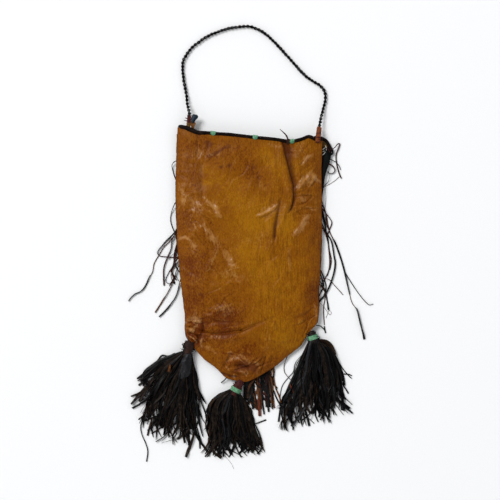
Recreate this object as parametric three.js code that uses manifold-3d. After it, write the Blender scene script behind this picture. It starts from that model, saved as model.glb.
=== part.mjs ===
// A goatskin camel bag, lying face down on a flat surface with its plain tan back upwards.
// Two panels are sewn together round three sides over a welt, the open mouth is bound in black leather,
// a twisted strap is looped over it, and tassels and fringes of cut leather hang from the seams.
// Millimetres, +Z up. The surface is z = 0, the origin lies under the middle of the bag,
// +Y runs towards the mouth and +X to the right as the bag is seen from above.
import * as THREE from 'three';
import { mergeVertices } from 'three/addons/utils/BufferGeometryUtils.js';
import Module from 'manifold-3d';

const wasm = await Module();
wasm.setup();

const { lerp, smoothstep, degToRad } = THREE.MathUtils;
const { abs, atan2, ceil, cos, exp, max, min, PI, pow, sin, sqrt } = Math;

// Leather and seams
const WALL = 1.6; // goatskin of both panels
const WELT = 1.2; // strip sewn between the panels
const CLEARANCE = 0.3; // air between pieces that touch on the real bag
const SEAM_Z = 9; // height of the side seams above the surface
const FOOT_SEAM_Z = 12; // height of the seam round the foot, held up by the tassels

// Outline of the back panel
const BAG_WIDTH = 288; // across the mouth
const SIDE_LENGTH = 402; // mouth to lower corners, mean of both sides
const FOOT_WIDTH = 246; // between the lower corners
const FOOT_SHIFT = 3; // the lower corners lie this far to the right
const TIP_DROP = 94; // lower corners down to the pointed foot
const MOUTH_Y = 231; // middle of the mouth's edge
const MOUTH_SLOPE = 26; // the left mouth corner lies this much higher up
const FOOT_SLOPE = 32; // the right lower corner lies this much higher up
const MOUTH_SAG = 9; // the slack edge between the mouth corners
const LEFT_BULGE = 15; // how far the left side bows out
const RIGHT_BULGE = 11;

// Puffiness
const CROWN = 22; // the back panel's middle above its seams
const MOUTH_GAPE = 10; // extra height of the mouth's middle over its corners
const FOLD_DEPTH = 5; // the long fold below the right of the mouth
const FOLD_WIDTH = 13;

// Where the front panel shows past the back panel at the right of the mouth
const PEEK_OUT = 20;
const PEEK_DOWN = 22;

// Mouth binding and the green tabs on it
const BINDING_RADIUS = 3.8;
const BINDING_STEP = 2; // in radii
const BINDING_TURN = 5.2; // radius of its bend at the mouth corners
const LAP_LEATHER = 1.1; // tabs, tongues and thong
const TAB_WIDTH = 11;
const TAB_REACH = 4.5; // past the binding, onto the panel
const TAB_PLACES = { left: 0.245, middle: 0.535, right: 0.79 }; // share of the mouth's width

// Pull tab and tie thong
const PULL_PLACE = 0.105; // share of the mouth's width
const PULL_WIDTH = 10;
const PULL_REACH = 7; // onto the panel
const PULL_LENGTH = 26; // out from the binding's middle
const PULL_WRAP = 14; // its teal end's length
const PULL_END_WIDTH = 13;
const THONG_PLACE = 0.735;
const THONG_WIDTH = 2.4;
const THONG_REACH = 4; // onto the panel
const THONG_TAIL = 16; // out of the mouth

// Strap
const CORD_DIAMETER = 5.5;
const CORD_STEP = 2.4; // in diameters
const CORD_LEAD = 7; // straight run out of each sleeve
const SLEEVE_LENGTH = 19;
const SLEEVE_RADIUS = 4.4; // at the bag
const SLEEVE_TIP_RADIUS = 3.5; // at the cord
const SLEEVE_FALL = 4; // the sleeve's outer end lies lower than its root
const SLEEVE_PLACES = { left: 0.065, right: 0.965 }; // share of the mouth's width
const TONGUE_REACH = 9; // the sleeve's tongue, sewn down on the back panel
const TONGUE_WIDTH = 7;

// Tassels
const NECK_RADIUS = 8;
const NECK_LENGTH = 18;
const BAND_WIDTH = 8;
const BAND_LEATHER = 1.2;
const BAND_START = 6; // from the neck's pivot
const BAND_LIFT = 0.9; // a band's height above the surface
const SKIRT_HEIGHT = 24;
const SKIRT_EDGE = 5; // thickness of a skirt's tips
const SKIRT_FALL = 0.4; // how much lower its sides lie
const FAN_SHARE = 0.16; // share of its fall over which the round bundle spreads into a fan

const SKIRT_STRIPS = 16;
const SKIRT_ROWS = [-1, 0, 0.07, 0.16, 0.32, 0.55, 0.8, 1]; // shares of the fall below the neck
const STRIP_GAP = 0.1; // share of a strip's width
const STRIP_GROOVE = 0.4; // depth of the gap between two strips, as a share of the skirt's thickness
const NOTCH_SHARE = 0.8; // how far down the gap between two strips is closed
const TIP_SPREAD = 0.14; // unevenness of the tips
const TIP_RHYTHM = 2.4;

// Fringes
const STRAND_WIDTH = 2.6;
const STRAND_STEP = 11;
const STRAND_DROP = 34; // the run over which a strand comes down from its seam to the surface
const WELT_IN = 4; // the welt's share between the panels
const WELT_OUT = 1.2; // and past their edge

// The strips under the foot: shares of the foot's width, how far they are tucked in, and their fall
const FOOT_FRINGE = { from: 0.51, to: 0.68, tuck: 0.93, strips: 6, thickness: 2.2, length: 78, drift: 13 };

// Mesh fineness
const DOME_STEPS = 4;
const PANEL_COLUMNS = 24;
const PANEL_ROWS = 28;
const ROUND_SIDES = 8;
const LATHE_SIDES = 16;

const leather = (color, roughness) => new THREE.MeshStandardMaterial({ color, roughness, metalness: 0 });
const TAN = leather(0x935e10, 0.5);
const BLACK = leather(0x141211, 0.55);
const DARK_GREEN = leather(0x14201c, 0.5);
const GREEN = leather(0x5c9468, 0.6);
const RUSSET = leather(0x663620, 0.6);
const DARK_BROWN = leather(0x2b1a12, 0.65);
const TEAL = leather(0x1c2a36, 0.5);

// Where each tassel hangs along the foot, how it lies, and how far its strips spread to either side
const TASSELS = {
  left: {
    place: 0.012,
    lean: 18,
    length: 208,
    neck: DARK_BROWN,
    banded: false,
    left: { width: 77, shoulder: 4, hem: 0.25 },
    right: { width: 77, shoulder: 1.6, hem: 0.15 },
  },
  bottom: {
    place: 0.378,
    lean: 4,
    length: 153,
    neck: RUSSET,
    banded: true,
    left: { width: 58, shoulder: 3.5, hem: 0.05 },
    right: { width: 58, shoulder: 2, hem: 0.1 },
  },
  right: {
    place: 0.985,
    lean: 1,
    length: 203,
    neck: DARK_BROWN,
    banded: true,
    left: { width: 66, shoulder: 1.4, hem: 0.03 },
    right: { width: 66, shoulder: 4, hem: 0.22 },
  },
};

const part = new THREE.Group();

function add(name, geometry, material, parent = part) {
  const mesh = new THREE.Mesh(geometry, material);
  mesh.name = name;
  parent.add(mesh);
  return mesh;
}

// Outline: the four edges of a panel seen from above, u from left to right and v from mouth to foot

const footY = MOUTH_Y - SIDE_LENGTH;
const CORNERS = {
  mouthLeft: new THREE.Vector2(-BAG_WIDTH / 2, MOUTH_Y + MOUTH_SLOPE / 2),
  mouthRight: new THREE.Vector2(BAG_WIDTH / 2, MOUTH_Y - MOUTH_SLOPE / 2),
  footLeft: new THREE.Vector2(FOOT_SHIFT - FOOT_WIDTH / 2, footY - FOOT_SLOPE / 2),
  footRight: new THREE.Vector2(FOOT_SHIFT + FOOT_WIDTH / 2, footY + FOOT_SLOPE / 2),
};

// The foot's fall below its chord, as shares of the chord and of TIP_DROP.
const footFall = new THREE.SplineCurve(
  [[0, 0], [0.2, 0.56], [0.36, 0.9], [0.48, 1], [0.62, 0.81], [0.88, 0.39], [1, 0]].map(
    ([u, fall]) => new THREE.Vector2(u, fall),
  ),
);
const footEdge = (u) => {
  const fall = footFall.getPoint(u);
  return CORNERS.footLeft.clone().lerp(CORNERS.footRight, fall.x).add(new THREE.Vector2(0, -TIP_DROP * fall.y));
};

const mouthEdge = (u) => {
  const sag = MOUTH_SAG * smoothstep(u, 0, 0.28) * (1 - smoothstep(u, 0.7, 0.98));
  return CORNERS.mouthLeft.clone().lerp(CORNERS.mouthRight, u).add(new THREE.Vector2(0, -sag));
};
const leftSide = (v) =>
  CORNERS.mouthLeft.clone().lerp(CORNERS.footLeft, v).add(new THREE.Vector2(-LEFT_BULGE * sin(PI * v), 0));
const rightSide = (v) =>
  CORNERS.mouthRight.clone().lerp(CORNERS.footRight, v).add(new THREE.Vector2(RIGHT_BULGE * sin(PI * pow(v, 1.6)), 0));
const BACK = { mouth: mouthEdge, foot: footEdge, left: leftSide, right: rightSide };

// The front panel has the same outline, apart from the stretch that shows at the right of the mouth.
// Its mouth runs behind the back panel's and turns down only at the corner.
const peek = (out, down) => new THREE.Vector2(PEEK_OUT * out, -PEEK_DOWN * down);
const peekLeft = (v) => 1 - smoothstep(v, 0.06, 0.34);
const FRONT = {
  ...BACK,
  mouth: (u) => mouthEdge(u).add(peek(smoothstep(u, 0.45, 0.95), smoothstep(u, 0.86, 1))),
  right: (v) => rightSide(v).add(peek(peekLeft(v), peekLeft(v))),
};

// A point of a panel, blended from its four edges.
function onPanel(edges, u, v) {
  const across = edges.left(v).lerp(edges.right(v), u);
  const along = edges.mouth(u).lerp(edges.foot(u), v);
  const mouthChord = edges.mouth(0).lerp(edges.mouth(1), u);
  const footChord = edges.foot(0).lerp(edges.foot(1), u);
  return across.add(along).sub(mouthChord.lerp(footChord, v));
}

// Heights of the panels' middle surfaces

const SEAM_HALF = WELT / 2 + CLEARANCE + WALL / 2;
const MOUTH_LOW_Z = BINDING_RADIUS + CLEARANCE; // the front panel's edge at the mouth
const MOUTH_HIGH_Z = MOUTH_LOW_Z + 2 * BINDING_TURN; // the back panel's edge at the mouth corners
const MOUTH_BLEND = 0.1; // share of the length over which the mouth closes to the seams

const seamHeight = (v) => lerp(SEAM_Z, FOOT_SEAM_Z, smoothstep(v, 0.75, 1));
const acrossPillow = (u) => 1 - pow(abs(2 * u - 1), 4);

// The long fold runs down and to the right from under the mouth, and fades at both ends.
const FOLD_TOP = { u: 0.75, v: 0.02 };
const FOLD_END = { u: 0.84, v: 0.3 };
function fold(u, v) {
  const t = (v - FOLD_TOP.v) / (FOLD_END.v - FOLD_TOP.v);
  const off = (u - lerp(FOLD_TOP.u, FOLD_END.u, t)) * BAG_WIDTH;
  return -FOLD_DEPTH * exp(-pow(off / FOLD_WIDTH, 2)) * smoothstep(t, 0, 0.3) * (1 - smoothstep(t, 0.7, 1.2));
}

function backZ(u, v) {
  const crown = CROWN * acrossPillow(u) * (1 - pow(v, 6)) * lerp(0.75, 1, smoothstep(v, 0.05, 0.45));
  const body = seamHeight(v) + SEAM_HALF + crown + fold(u, v);
  const mouth = MOUTH_HIGH_Z + MOUTH_GAPE * acrossPillow(u);
  return lerp(mouth, body, smoothstep(v, 0, MOUTH_BLEND));
}

function frontZ(u, v) {
  const toEdge = smoothstep(0.5 - abs(u - 0.5), 0, 0.08) * (1 - smoothstep(v, 0.86, 1));
  const body = lerp(seamHeight(v) - SEAM_HALF, WALL / 2, toEdge);
  return lerp(MOUTH_LOW_Z, body, smoothstep(v, 0, MOUTH_BLEND / 2));
}

const BACK_PANEL = { edges: BACK, height: backZ };
const FRONT_PANEL = { edges: FRONT, height: frontZ };

function panelPoint({ edges, height }, u, v, lift = 0) {
  const { x, y } = onPanel(edges, u, v);
  return new THREE.Vector3(x, y, height(u, v) + lift);
}

// A closed sheet between two grids of points, with a wall round its rim. Seen from above,
// a grid's columns run to the left of the way in which its rows follow each other.
function sheet(upper, lower) {
  const rows = upper.length;
  const columns = upper[0].length;
  const at = (row, column) => row * columns + column;
  const under = at(rows, 0); // the first lower point
  const index = [];
  const quad = (a, b, c, d) => index.push(a, b, c, a, c, d);
  for (let row = 1; row < rows; row++) {
    for (let column = 1; column < columns; column++) {
      const [a, b, c, d] = [at(row - 1, column - 1), at(row, column - 1), at(row, column), at(row - 1, column)];
      quad(a, b, c, d);
      quad(under + a, under + d, under + c, under + b);
    }
  }
  const rim = [];
  for (let row = 0; row < rows - 1; row++) rim.push(at(row, 0));
  for (let column = 0; column < columns - 1; column++) rim.push(at(rows - 1, column));
  for (let row = rows - 1; row > 0; row--) rim.push(at(row, columns - 1));
  for (let column = columns - 1; column > 0; column--) rim.push(at(0, column));
  rim.forEach((from, i) => {
    const to = rim[(i + 1) % rim.length];
    quad(from, under + from, under + to, to);
  });
  const geometry = new THREE.BufferGeometry().setFromPoints([...upper.flat(), ...lower.flat()]);
  geometry.setIndex(index);
  geometry.computeVertexNormals();
  return geometry;
}

// A row or column of evenly spaced values, made into points or rows.
const spread = (steps, make) => Array.from({ length: steps + 1 }, (_, i) => make(i / steps));

function panelGeometry(panel, columns, rows) {
  const face = (lift) => spread(rows, (v) => spread(columns, (u) => panelPoint(panel, u, v, lift)));
  return sheet(face(WALL / 2), face(-WALL / 2));
}

add('back_panel', panelGeometry(BACK_PANEL, PANEL_COLUMNS, PANEL_ROWS), TAN);
add('front_panel', panelGeometry(FRONT_PANEL, PANEL_COLUMNS, PANEL_ROWS / 2), DARK_GREEN);

// Mouth binding: one rolled strip round both edges of the mouth

const BEAD_OFF = BINDING_RADIUS + CLEARANCE; // from a panel's edge to the binding's middle
const FRAME_STEP = 0.01; // share of a panel over which its slope is taken

// The local frame of a mouth edge: along it, out of the bag, and up from the panel.
function mouthFrame(panel, u) {
  const along = panelPoint(panel, min(u + FRAME_STEP, 1), 0).sub(panelPoint(panel, max(u - FRAME_STEP, 0), 0));
  along.normalize();
  const at = panelPoint(panel, u, 0);
  const up = panelPoint(panel, u, FRAME_STEP).sub(at).cross(along).normalize();
  const out = up.clone().cross(along);
  return { along, out, up, bead: at.addScaledVector(out, BEAD_OFF) };
}

// The binding's middle line along one edge of the mouth, past both of its corners.
function bead(panel) {
  const points = spread(PANEL_COLUMNS, (u) => mouthFrame(panel, u).bead);
  const past = (u, way) => {
    const { along, bead: end } = mouthFrame(panel, u);
    return end.addScaledVector(along, way * BEAD_OFF);
  };
  return [past(0, -1), ...points, past(1, 1)];
}

function bindingGeometry() {
  const upper = bead(BACK_PANEL);
  const lower = bead(FRONT_PANEL).reverse();
  const turn = (from, to, way) => from.clone().lerp(to, 0.5).add(new THREE.Vector3(way * BINDING_TURN, 0, 0));
  const loop = new THREE.CatmullRomCurve3(
    [...upper, turn(upper.at(-1), lower[0], 1), ...lower, turn(lower.at(-1), upper[0], -1)],
    true,
    'centripetal',
  );
  const steps = ceil(loop.getLength() / (BINDING_STEP * BINDING_RADIUS));
  return new THREE.TubeGeometry(loop, steps, BINDING_RADIUS, ROUND_SIDES, true);
}
add('mouth_binding', bindingGeometry(), BLACK);

// Pieces that lap the upper binding: sections have x out of the bag and y up from the panel

const LAP_INNER = BEAD_OFF; // radius inside a strip that is bent round the binding
const LAP_OUTER = BEAD_OFF + LAP_LEATHER;
const LAP_LOW = WALL / 2 + CLEARANCE; // a strip's lower face where it lies on the panel

// Extrudes a section along the mouth's edge and sets it on the binding.
function lap(name, shape, width, u, material, ...joined) {
  const { along, out, up, bead: at } = mouthFrame(BACK_PANEL, u);
  const strip = new THREE.ExtrudeGeometry(shape, { depth: width, bevelEnabled: false, curveSegments: 6 });
  strip.translate(0, 0, -width / 2);
  const piece = add(name, joined.length ? join([strip, ...joined]) : strip, material);
  piece.quaternion.setFromRotationMatrix(new THREE.Matrix4().makeBasis(out, up, along));
  piece.position.copy(at);
  return piece;
}

function toSolid(geometry) {
  const bare = new THREE.BufferGeometry();
  bare.setAttribute('position', geometry.attributes.position);
  bare.setIndex(geometry.index);
  const merged = mergeVertices(bare);
  return new wasm.Manifold(
    new wasm.Mesh({
      numProp: 3,
      vertProperties: Float32Array.from(merged.attributes.position.array),
      triVerts: Uint32Array.from(merged.index.array),
    }),
  );
}

function join(geometries) {
  const { vertProperties, triVerts } = geometries.map(toSolid).reduce((all, next) => all.add(next)).getMesh();
  const geometry = new THREE.BufferGeometry();
  geometry.setAttribute('position', new THREE.BufferAttribute(vertProperties, 3));
  geometry.setIndex(new THREE.BufferAttribute(triVerts, 1));
  return geometry;
}

// Green tabs: short strips folded over the binding and sewn through the back panel.
function tabShape() {
  const end = -LAP_INNER - TAB_REACH;
  const shape = new THREE.Shape();
  shape.moveTo(end, LAP_LOW);
  shape.lineTo(0, LAP_INNER);
  shape.absarc(0, 0, LAP_INNER, PI / 2, -PI / 2, true);
  shape.lineTo(end, -LAP_LOW);
  shape.lineTo(end, -LAP_LOW - LAP_LEATHER);
  shape.lineTo(0, -LAP_OUTER);
  shape.absarc(0, 0, LAP_OUTER, -PI / 2, PI / 2, false);
  shape.lineTo(end, LAP_LOW + LAP_LEATHER);
  return shape;
}
for (const [side, u] of Object.entries(TAB_PLACES)) {
  lap(`binding_tab_${side}`, tabShape(), TAB_WIDTH, u, GREEN);
}

// A strip that lies on the panel, passes over the binding and ends outside it, level with its middle.
function overShape(reach) {
  const end = -LAP_INNER - reach;
  const shape = new THREE.Shape();
  shape.moveTo(end, LAP_LOW);
  shape.lineTo(0, LAP_INNER);
  shape.absarc(0, 0, LAP_INNER, PI / 2, 0, true);
  shape.lineTo(LAP_OUTER, 0);
  shape.absarc(0, 0, LAP_OUTER, 0, PI / 2, false);
  shape.lineTo(end, LAP_LOW + LAP_LEATHER);
  return shape;
}

// Strap sleeves: a tongue sewn to the back panel, and the wound taper that holds the cord's end.
const sleeveTilt = -atan2(SLEEVE_FALL, SLEEVE_LENGTH);

function sleeveGeometry() {
  const taper = new THREE.CylinderGeometry(SLEEVE_TIP_RADIUS, SLEEVE_RADIUS, SLEEVE_LENGTH, LATHE_SIDES);
  taper.translate(0, SLEEVE_LENGTH / 2, 0);
  return taper.rotateZ(sleeveTilt - PI / 2).translate(LAP_INNER, 0, 0);
}
const cordEnds = {}; // where the cord leaves each sleeve, and where it is free to bend
for (const [side, u] of Object.entries(SLEEVE_PLACES)) {
  const sleeve = lap(`strap_sleeve_${side}`, overShape(TONGUE_REACH), TONGUE_WIDTH, u, RUSSET, sleeveGeometry());
  sleeve.updateMatrix();
  cordEnds[side] = [CLEARANCE, CORD_LEAD].map((past) => {
    const reach = SLEEVE_LENGTH + past;
    const end = new THREE.Vector3(LAP_INNER + reach * cos(sleeveTilt), reach * sin(sleeveTilt), 0);
    return end.applyMatrix4(sleeve.matrix);
  });
}

// Tie thong: a thin lace knotted round the binding, its free end outside the mouth.
function thongTail() {
  const tail = new THREE.BoxGeometry(THONG_TAIL, LAP_LEATHER, THONG_WIDTH);
  return tail.translate(LAP_INNER + THONG_TAIL / 2, -LAP_LEATHER / 2, 0);
}
lap('tie_thong', overShape(THONG_REACH), THONG_WIDTH, THONG_PLACE, DARK_BROWN, thongTail());

// Pull tab: a tongue from under the upper binding, its end wrapped in teal leather.
function pullTongueShape() {
  const end = -LAP_INNER - PULL_REACH;
  const shape = new THREE.Shape();
  shape.moveTo(end, -LAP_LOW);
  shape.lineTo(end, -LAP_LOW - LAP_LEATHER);
  shape.lineTo(0, -LAP_OUTER);
  shape.lineTo(PULL_LENGTH, -LAP_OUTER);
  shape.lineTo(PULL_LENGTH, -LAP_INNER);
  shape.lineTo(0, -LAP_INNER);
  return shape;
}
function pullEndShape() {
  const high = -LAP_INNER + CLEARANCE;
  const low = -LAP_OUTER - CLEARANCE;
  const tip = PULL_LENGTH + CLEARANCE;
  const shape = new THREE.Shape();
  shape.moveTo(tip - PULL_WRAP, high);
  shape.lineTo(tip, high);
  shape.lineTo(tip, low);
  shape.lineTo(tip - PULL_WRAP, low);
  shape.lineTo(tip - PULL_WRAP, low - LAP_LEATHER);
  shape.lineTo(tip + LAP_LEATHER, low - LAP_LEATHER);
  shape.lineTo(tip + LAP_LEATHER, high + LAP_LEATHER);
  shape.lineTo(tip - PULL_WRAP, high + LAP_LEATHER);
  return shape;
}
lap('pull_tab_tongue', pullTongueShape(), PULL_WIDTH, PULL_PLACE, TAN);
lap('pull_tab_end', pullEndShape(), PULL_END_WIDTH, PULL_PLACE, TEAL);

// Strap: one twisted cord from sleeve to sleeve, resting on the surface between them

const CORD_ROUTE = [
  [-124.6, 289.2, 9], [-127.2, 311.4, 3.6], [-132, 337.2, 2.9], [-134.6, 359.4, 2.9], [-133.2, 378, 2.9],
  [-127.6, 389, 2.9], [-117.2, 403, 2.9], [-102.4, 415, 2.9], [-84, 427.2, 2.9], [-65.4, 435.2, 2.9],
  [-43.2, 442.6, 2.9], [-21, 445.6, 2.9], [-4.4, 446.8, 2.9], [12.2, 442.6, 2.9], [30.8, 431.6, 2.9],
  [49.2, 415, 2.9], [67.8, 394.6, 2.9], [86.2, 374.2, 2.9], [101, 357.6, 2.9], [115.8, 344, 2.9],
  [130.6, 334.2, 2.9], [141.6, 326.8, 2.9], [148.4, 318, 2.9], [151, 304, 2.9], [148, 289.2, 3.6],
  [143.6, 270.6, 8],
];

function cordGeometry() {
  const route = CORD_ROUTE.map(([x, y, z]) => new THREE.Vector3(x, y, z));
  const points = [...cordEnds.left, ...route, ...cordEnds.right.toReversed()];
  const path = new THREE.CatmullRomCurve3(points, false, 'centripetal');
  const section = new THREE.Shape().absarc(0, 0, CORD_DIAMETER / 2, 0, 2 * PI, false);
  const steps = ceil(path.getLength() / (CORD_STEP * CORD_DIAMETER));
  return new THREE.ExtrudeGeometry(section, { steps, extrudePath: path, curveSegments: ROUND_SIDES / 2 });
}
add('strap_cord', cordGeometry(), BLACK);

// Welts: strips between the panels' edges, seen as a dark line round the bag

// A strip along an edge of the back panel, at the seam's height.
function weltGeometry(edge, from, to, steps, heightAt) {
  const face = (lift) =>
    spread(steps, (share) => {
      const t = lerp(from, to, share);
      const { at, normal } = edgeFrame(edge, t, from < to ? 1 : -1);
      return [WELT_OUT, -WELT_IN].map((out) => {
        const { x, y } = at.clone().addScaledVector(normal, out);
        return new THREE.Vector3(x, y, heightAt(t) + lift);
      });
    });
  return sheet(face(WELT / 2), face(-WELT / 2));
}

// A point of an edge and the direction out of the bag there, for an edge walked with the bag on the left.
function edgeFrame(edge, t, way = 1) {
  const along = edge(min(t + FRAME_STEP, 1)).sub(edge(max(t - FRAME_STEP, 0)));
  const normal = new THREE.Vector2(along.y, -along.x).normalize().multiplyScalar(way);
  return { at: edge(t), normal };
}

add('foot_welt', weltGeometry(footEdge, 0, 1, 26, () => FOOT_SEAM_Z), DARK_BROWN);

// Side fringes: the side seams' welts, cut into long strands that lie out on the surface

// Each strand starts at a share of the side's length and runs through points given as
// millimetres out from the side and millimetres down towards the foot.
const FRINGES = {
  left: {
    edge: leftSide,
    strands: [
      { start: 0.49, course: [[17, 14], [32, 39], [48, 80], [63, 111], [80, 123], [94, 136]] },
      { start: 0.5, course: [[5, 20], [6, 45], [8, 63], [12, 84], [20, 94]] },
      { start: 0.52, course: [[11, 26], [18, 43], [25, 61], [25, 94]] },
      { start: 0.65, course: [[11, 23], [22, 48], [48, 89]] },
      { start: 0.71, course: [[6, 20], [19, 43], [41, 70]] },
    ],
  },
  right: {
    edge: rightSide,
    strands: [
      {
        start: 0.36,
        course: [[12, 35], [26, 71], [41, 109], [50, 147], [57, 182], [71, 203], [82, 253], [85, 262]],
      },
      { start: 0.38, course: [[13, 34], [26, 68], [41, 110], [62, 142], [79, 168], [90, 183], [103, 185]] },
      { start: 0.45, course: [[15, 24], [26, 65], [25, 82], [12, 123], [7, 146]] },
      { start: 0.72, course: [[21, 12], [41, 38]] },
      { start: 0.86, course: [[5, 20], [6, 51], [8, 63]] },
    ],
  },
};

function strandGeometry(root, way, course) {
  const plan = new THREE.SplineCurve(
    [[WELT_OUT - CLEARANCE, 0], [WELT_OUT * 3, 0], ...course].map(
      ([out, down]) => new THREE.Vector2(root.x + way * out, root.y - down),
    ),
  );
  const length = plan.getLength();
  const steps = ceil(length / STRAND_STEP);
  const floor = WELT / 2 + CLEARANCE;
  const points = plan.getSpacedPoints(steps).map(({ x, y }, i) => {
    const fall = smoothstep((i / steps) * length, 0, STRAND_DROP);
    return new THREE.Vector3(x, y, lerp(root.z, floor, fall));
  });
  const section = new THREE.Shape();
  section.moveTo(-WELT / 2, -STRAND_WIDTH / 2);
  section.lineTo(WELT / 2, -STRAND_WIDTH / 2);
  section.lineTo(WELT / 2, STRAND_WIDTH / 2);
  section.lineTo(-WELT / 2, STRAND_WIDTH / 2);
  return new THREE.ExtrudeGeometry(section, { steps, extrudePath: new THREE.CatmullRomCurve3(points) });
}

for (const [side, { edge, strands }] of Object.entries(FRINGES)) {
  const way = side === 'left' ? -1 : 1;
  const [from, to] = way < 0 ? [0.12, 0.97] : [0.97, 0.12];
  const pieces = [weltGeometry(edge, from, to, 20, seamHeight)];
  for (const { start, course } of strands) {
    const { x, y } = edge(start);
    pieces.push(strandGeometry(new THREE.Vector3(x, y, seamHeight(start)), way, course));
  }
  add(`side_fringe_${side}`, join(pieces), DARK_BROWN);
}

// Foot fringe: strips sewn under the foot's edge, lying out on the surface

function footFringeGeometry() {
  const { from, to, tuck, strips, thickness, length, drift } = FOOT_FRINGE;
  const low = thickness + CLEARANCE;
  const columns = stripColumns(strips);
  const tucked = columns.map(({ q }) => panelPoint(FRONT_PANEL, lerp(from, to, q), tuck, -WALL / 2 - CLEARANCE));
  const edge = columns.map(({ q }, i) => panelPoint(FRONT_PANEL, lerp(from, to, q), 1).setZ(tucked[i].z));
  const fall = (share) =>
    columns.map(({ notch }, i) => {
      const reach = share === 1 && notch ? NOTCH_SHARE : share;
      const { x, y } = edge[i];
      return new THREE.Vector3(x + drift * reach, y - length * reach, low);
    });
  const upper = [tucked, edge, fall(0.4), fall(1)];
  const lower = upper.map((row) => row.map(({ x, y, z }) => new THREE.Vector3(x, y, z - thickness)));
  return sheet(upper, lower);
}

// The edges of a row of strips across a width of 1, with a notch between each two.
function stripColumns(strips) {
  const columns = [];
  for (let i = 0; i < strips; i++) {
    columns.push({ q: (i + STRIP_GAP) / strips, strip: i }, { q: (i + 1 - STRIP_GAP) / strips, strip: i });
    if (i < strips - 1) columns.push({ q: (i + 1) / strips, strip: i, notch: true });
  }
  return columns;
}
add('foot_fringe', footFringeGeometry(), DARK_BROWN);

// Tassels: a wound neck at the foot's edge, a band, and a skirt of cut strips spread on the surface

const BAND_INSIDE = NECK_RADIUS + CLEARANCE;
const NECK_Z = BAND_INSIDE + BAND_LEATHER + BAND_LIFT; // height of a neck's axis
const NECK_INSIDE = (NECK_RADIUS - WALL) * cos(PI / LATHE_SIDES) - CLEARANCE; // radius of the strips' heads
const NECK_CROWN = NECK_RADIUS / 4; // how far the hollow of the neck reaches past its pivot

function neckGeometry() {
  const profile = [];
  for (let i = 0; i <= DOME_STEPS; i++) {
    const angle = (PI / 2) * (1 - i / DOME_STEPS);
    profile.push(new THREE.Vector2(i ? NECK_RADIUS * cos(angle) : 0, NECK_RADIUS * sin(angle)));
  }
  profile.push(
    new THREE.Vector2(NECK_RADIUS, -NECK_LENGTH),
    new THREE.Vector2(NECK_RADIUS - WALL, -NECK_LENGTH),
    new THREE.Vector2(NECK_RADIUS - WALL, NECK_CROWN),
    new THREE.Vector2(0, NECK_CROWN),
  );
  return new THREE.LatheGeometry(profile.reverse(), LATHE_SIDES);
}

function bandGeometry() {
  const outside = BAND_INSIDE + BAND_LEATHER;
  const top = -BAND_START;
  const low = top - BAND_WIDTH;
  const profile = [[BAND_INSIDE, top], [BAND_INSIDE, low], [outside, low], [outside, top], [BAND_INSIDE, top]];
  return new THREE.LatheGeometry(profile.map(([r, y]) => new THREE.Vector2(r, y)), LATHE_SIDES);
}

// A skirt lies along -Y from its pivot: round heads inside the neck, then a fan of strips on the surface.
function skirtGeometry({ length, left, right }) {
  const upper = [];
  const lower = [];
  for (const t of SKIRT_ROWS) {
    const below = max(t, 0);
    const fan = smoothstep(t, 0, FAN_SHARE);
    const height = lerp(SKIRT_HEIGHT, SKIRT_EDGE, sqrt(below));
    upper.push([]);
    lower.push([]);
    for (const { q, strip, notch } of stripColumns(SKIRT_STRIPS)) {
      const across = 2 * q - 1;
      const { width, shoulder, hem } = across < 0 ? left : right;
      const x = across * lerp(NECK_INSIDE, width, 1 - pow(1 - below, shoulder));
      const uneven = TIP_SPREAD * (1 + sin(strip * TIP_RHYTHM)) / 2;
      const reach = length * (1 - below * (hem * pow(abs(across), 3) + uneven));
      const fall = t === 1 && notch ? NOTCH_SHARE : below;
      const y = t < 0 ? NECK_CROWN - CLEARANCE : -lerp(NECK_LENGTH, reach, fall);
      const round = NECK_INSIDE * sqrt(1 - across * across);
      const low = lerp(-round, CLEARANCE - NECK_Z, fan);
      const high = lerp(round, height * (1 - SKIRT_FALL * across * across) - NECK_Z, fan);
      upper.at(-1).push(new THREE.Vector3(x, y, notch ? lerp(high, low, STRIP_GROOVE * fan) : high));
      lower.at(-1).push(new THREE.Vector3(x, y, low));
    }
  }
  return sheet(upper, lower);
}

for (const [side, shape] of Object.entries(TASSELS)) {
  const { at, normal } = edgeFrame(footEdge, shape.place);
  at.addScaledVector(normal, WELT_OUT + NECK_RADIUS + CLEARANCE);
  const tassel = new THREE.Group();
  tassel.position.set(at.x, at.y, NECK_Z);
  tassel.rotation.z = degToRad(-shape.lean);
  part.add(tassel);
  add(`${side}_tassel_neck`, neckGeometry(), shape.neck, tassel);
  if (shape.banded) add(`${side}_tassel_band`, bandGeometry(), GREEN, tassel);
  add(`${side}_tassel_skirt`, skirtGeometry(shape), BLACK, tassel);
}

export default part;
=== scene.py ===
import math
import random
from collections import namedtuple

import bpy
import numpy as np
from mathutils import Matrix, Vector, noise


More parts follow.
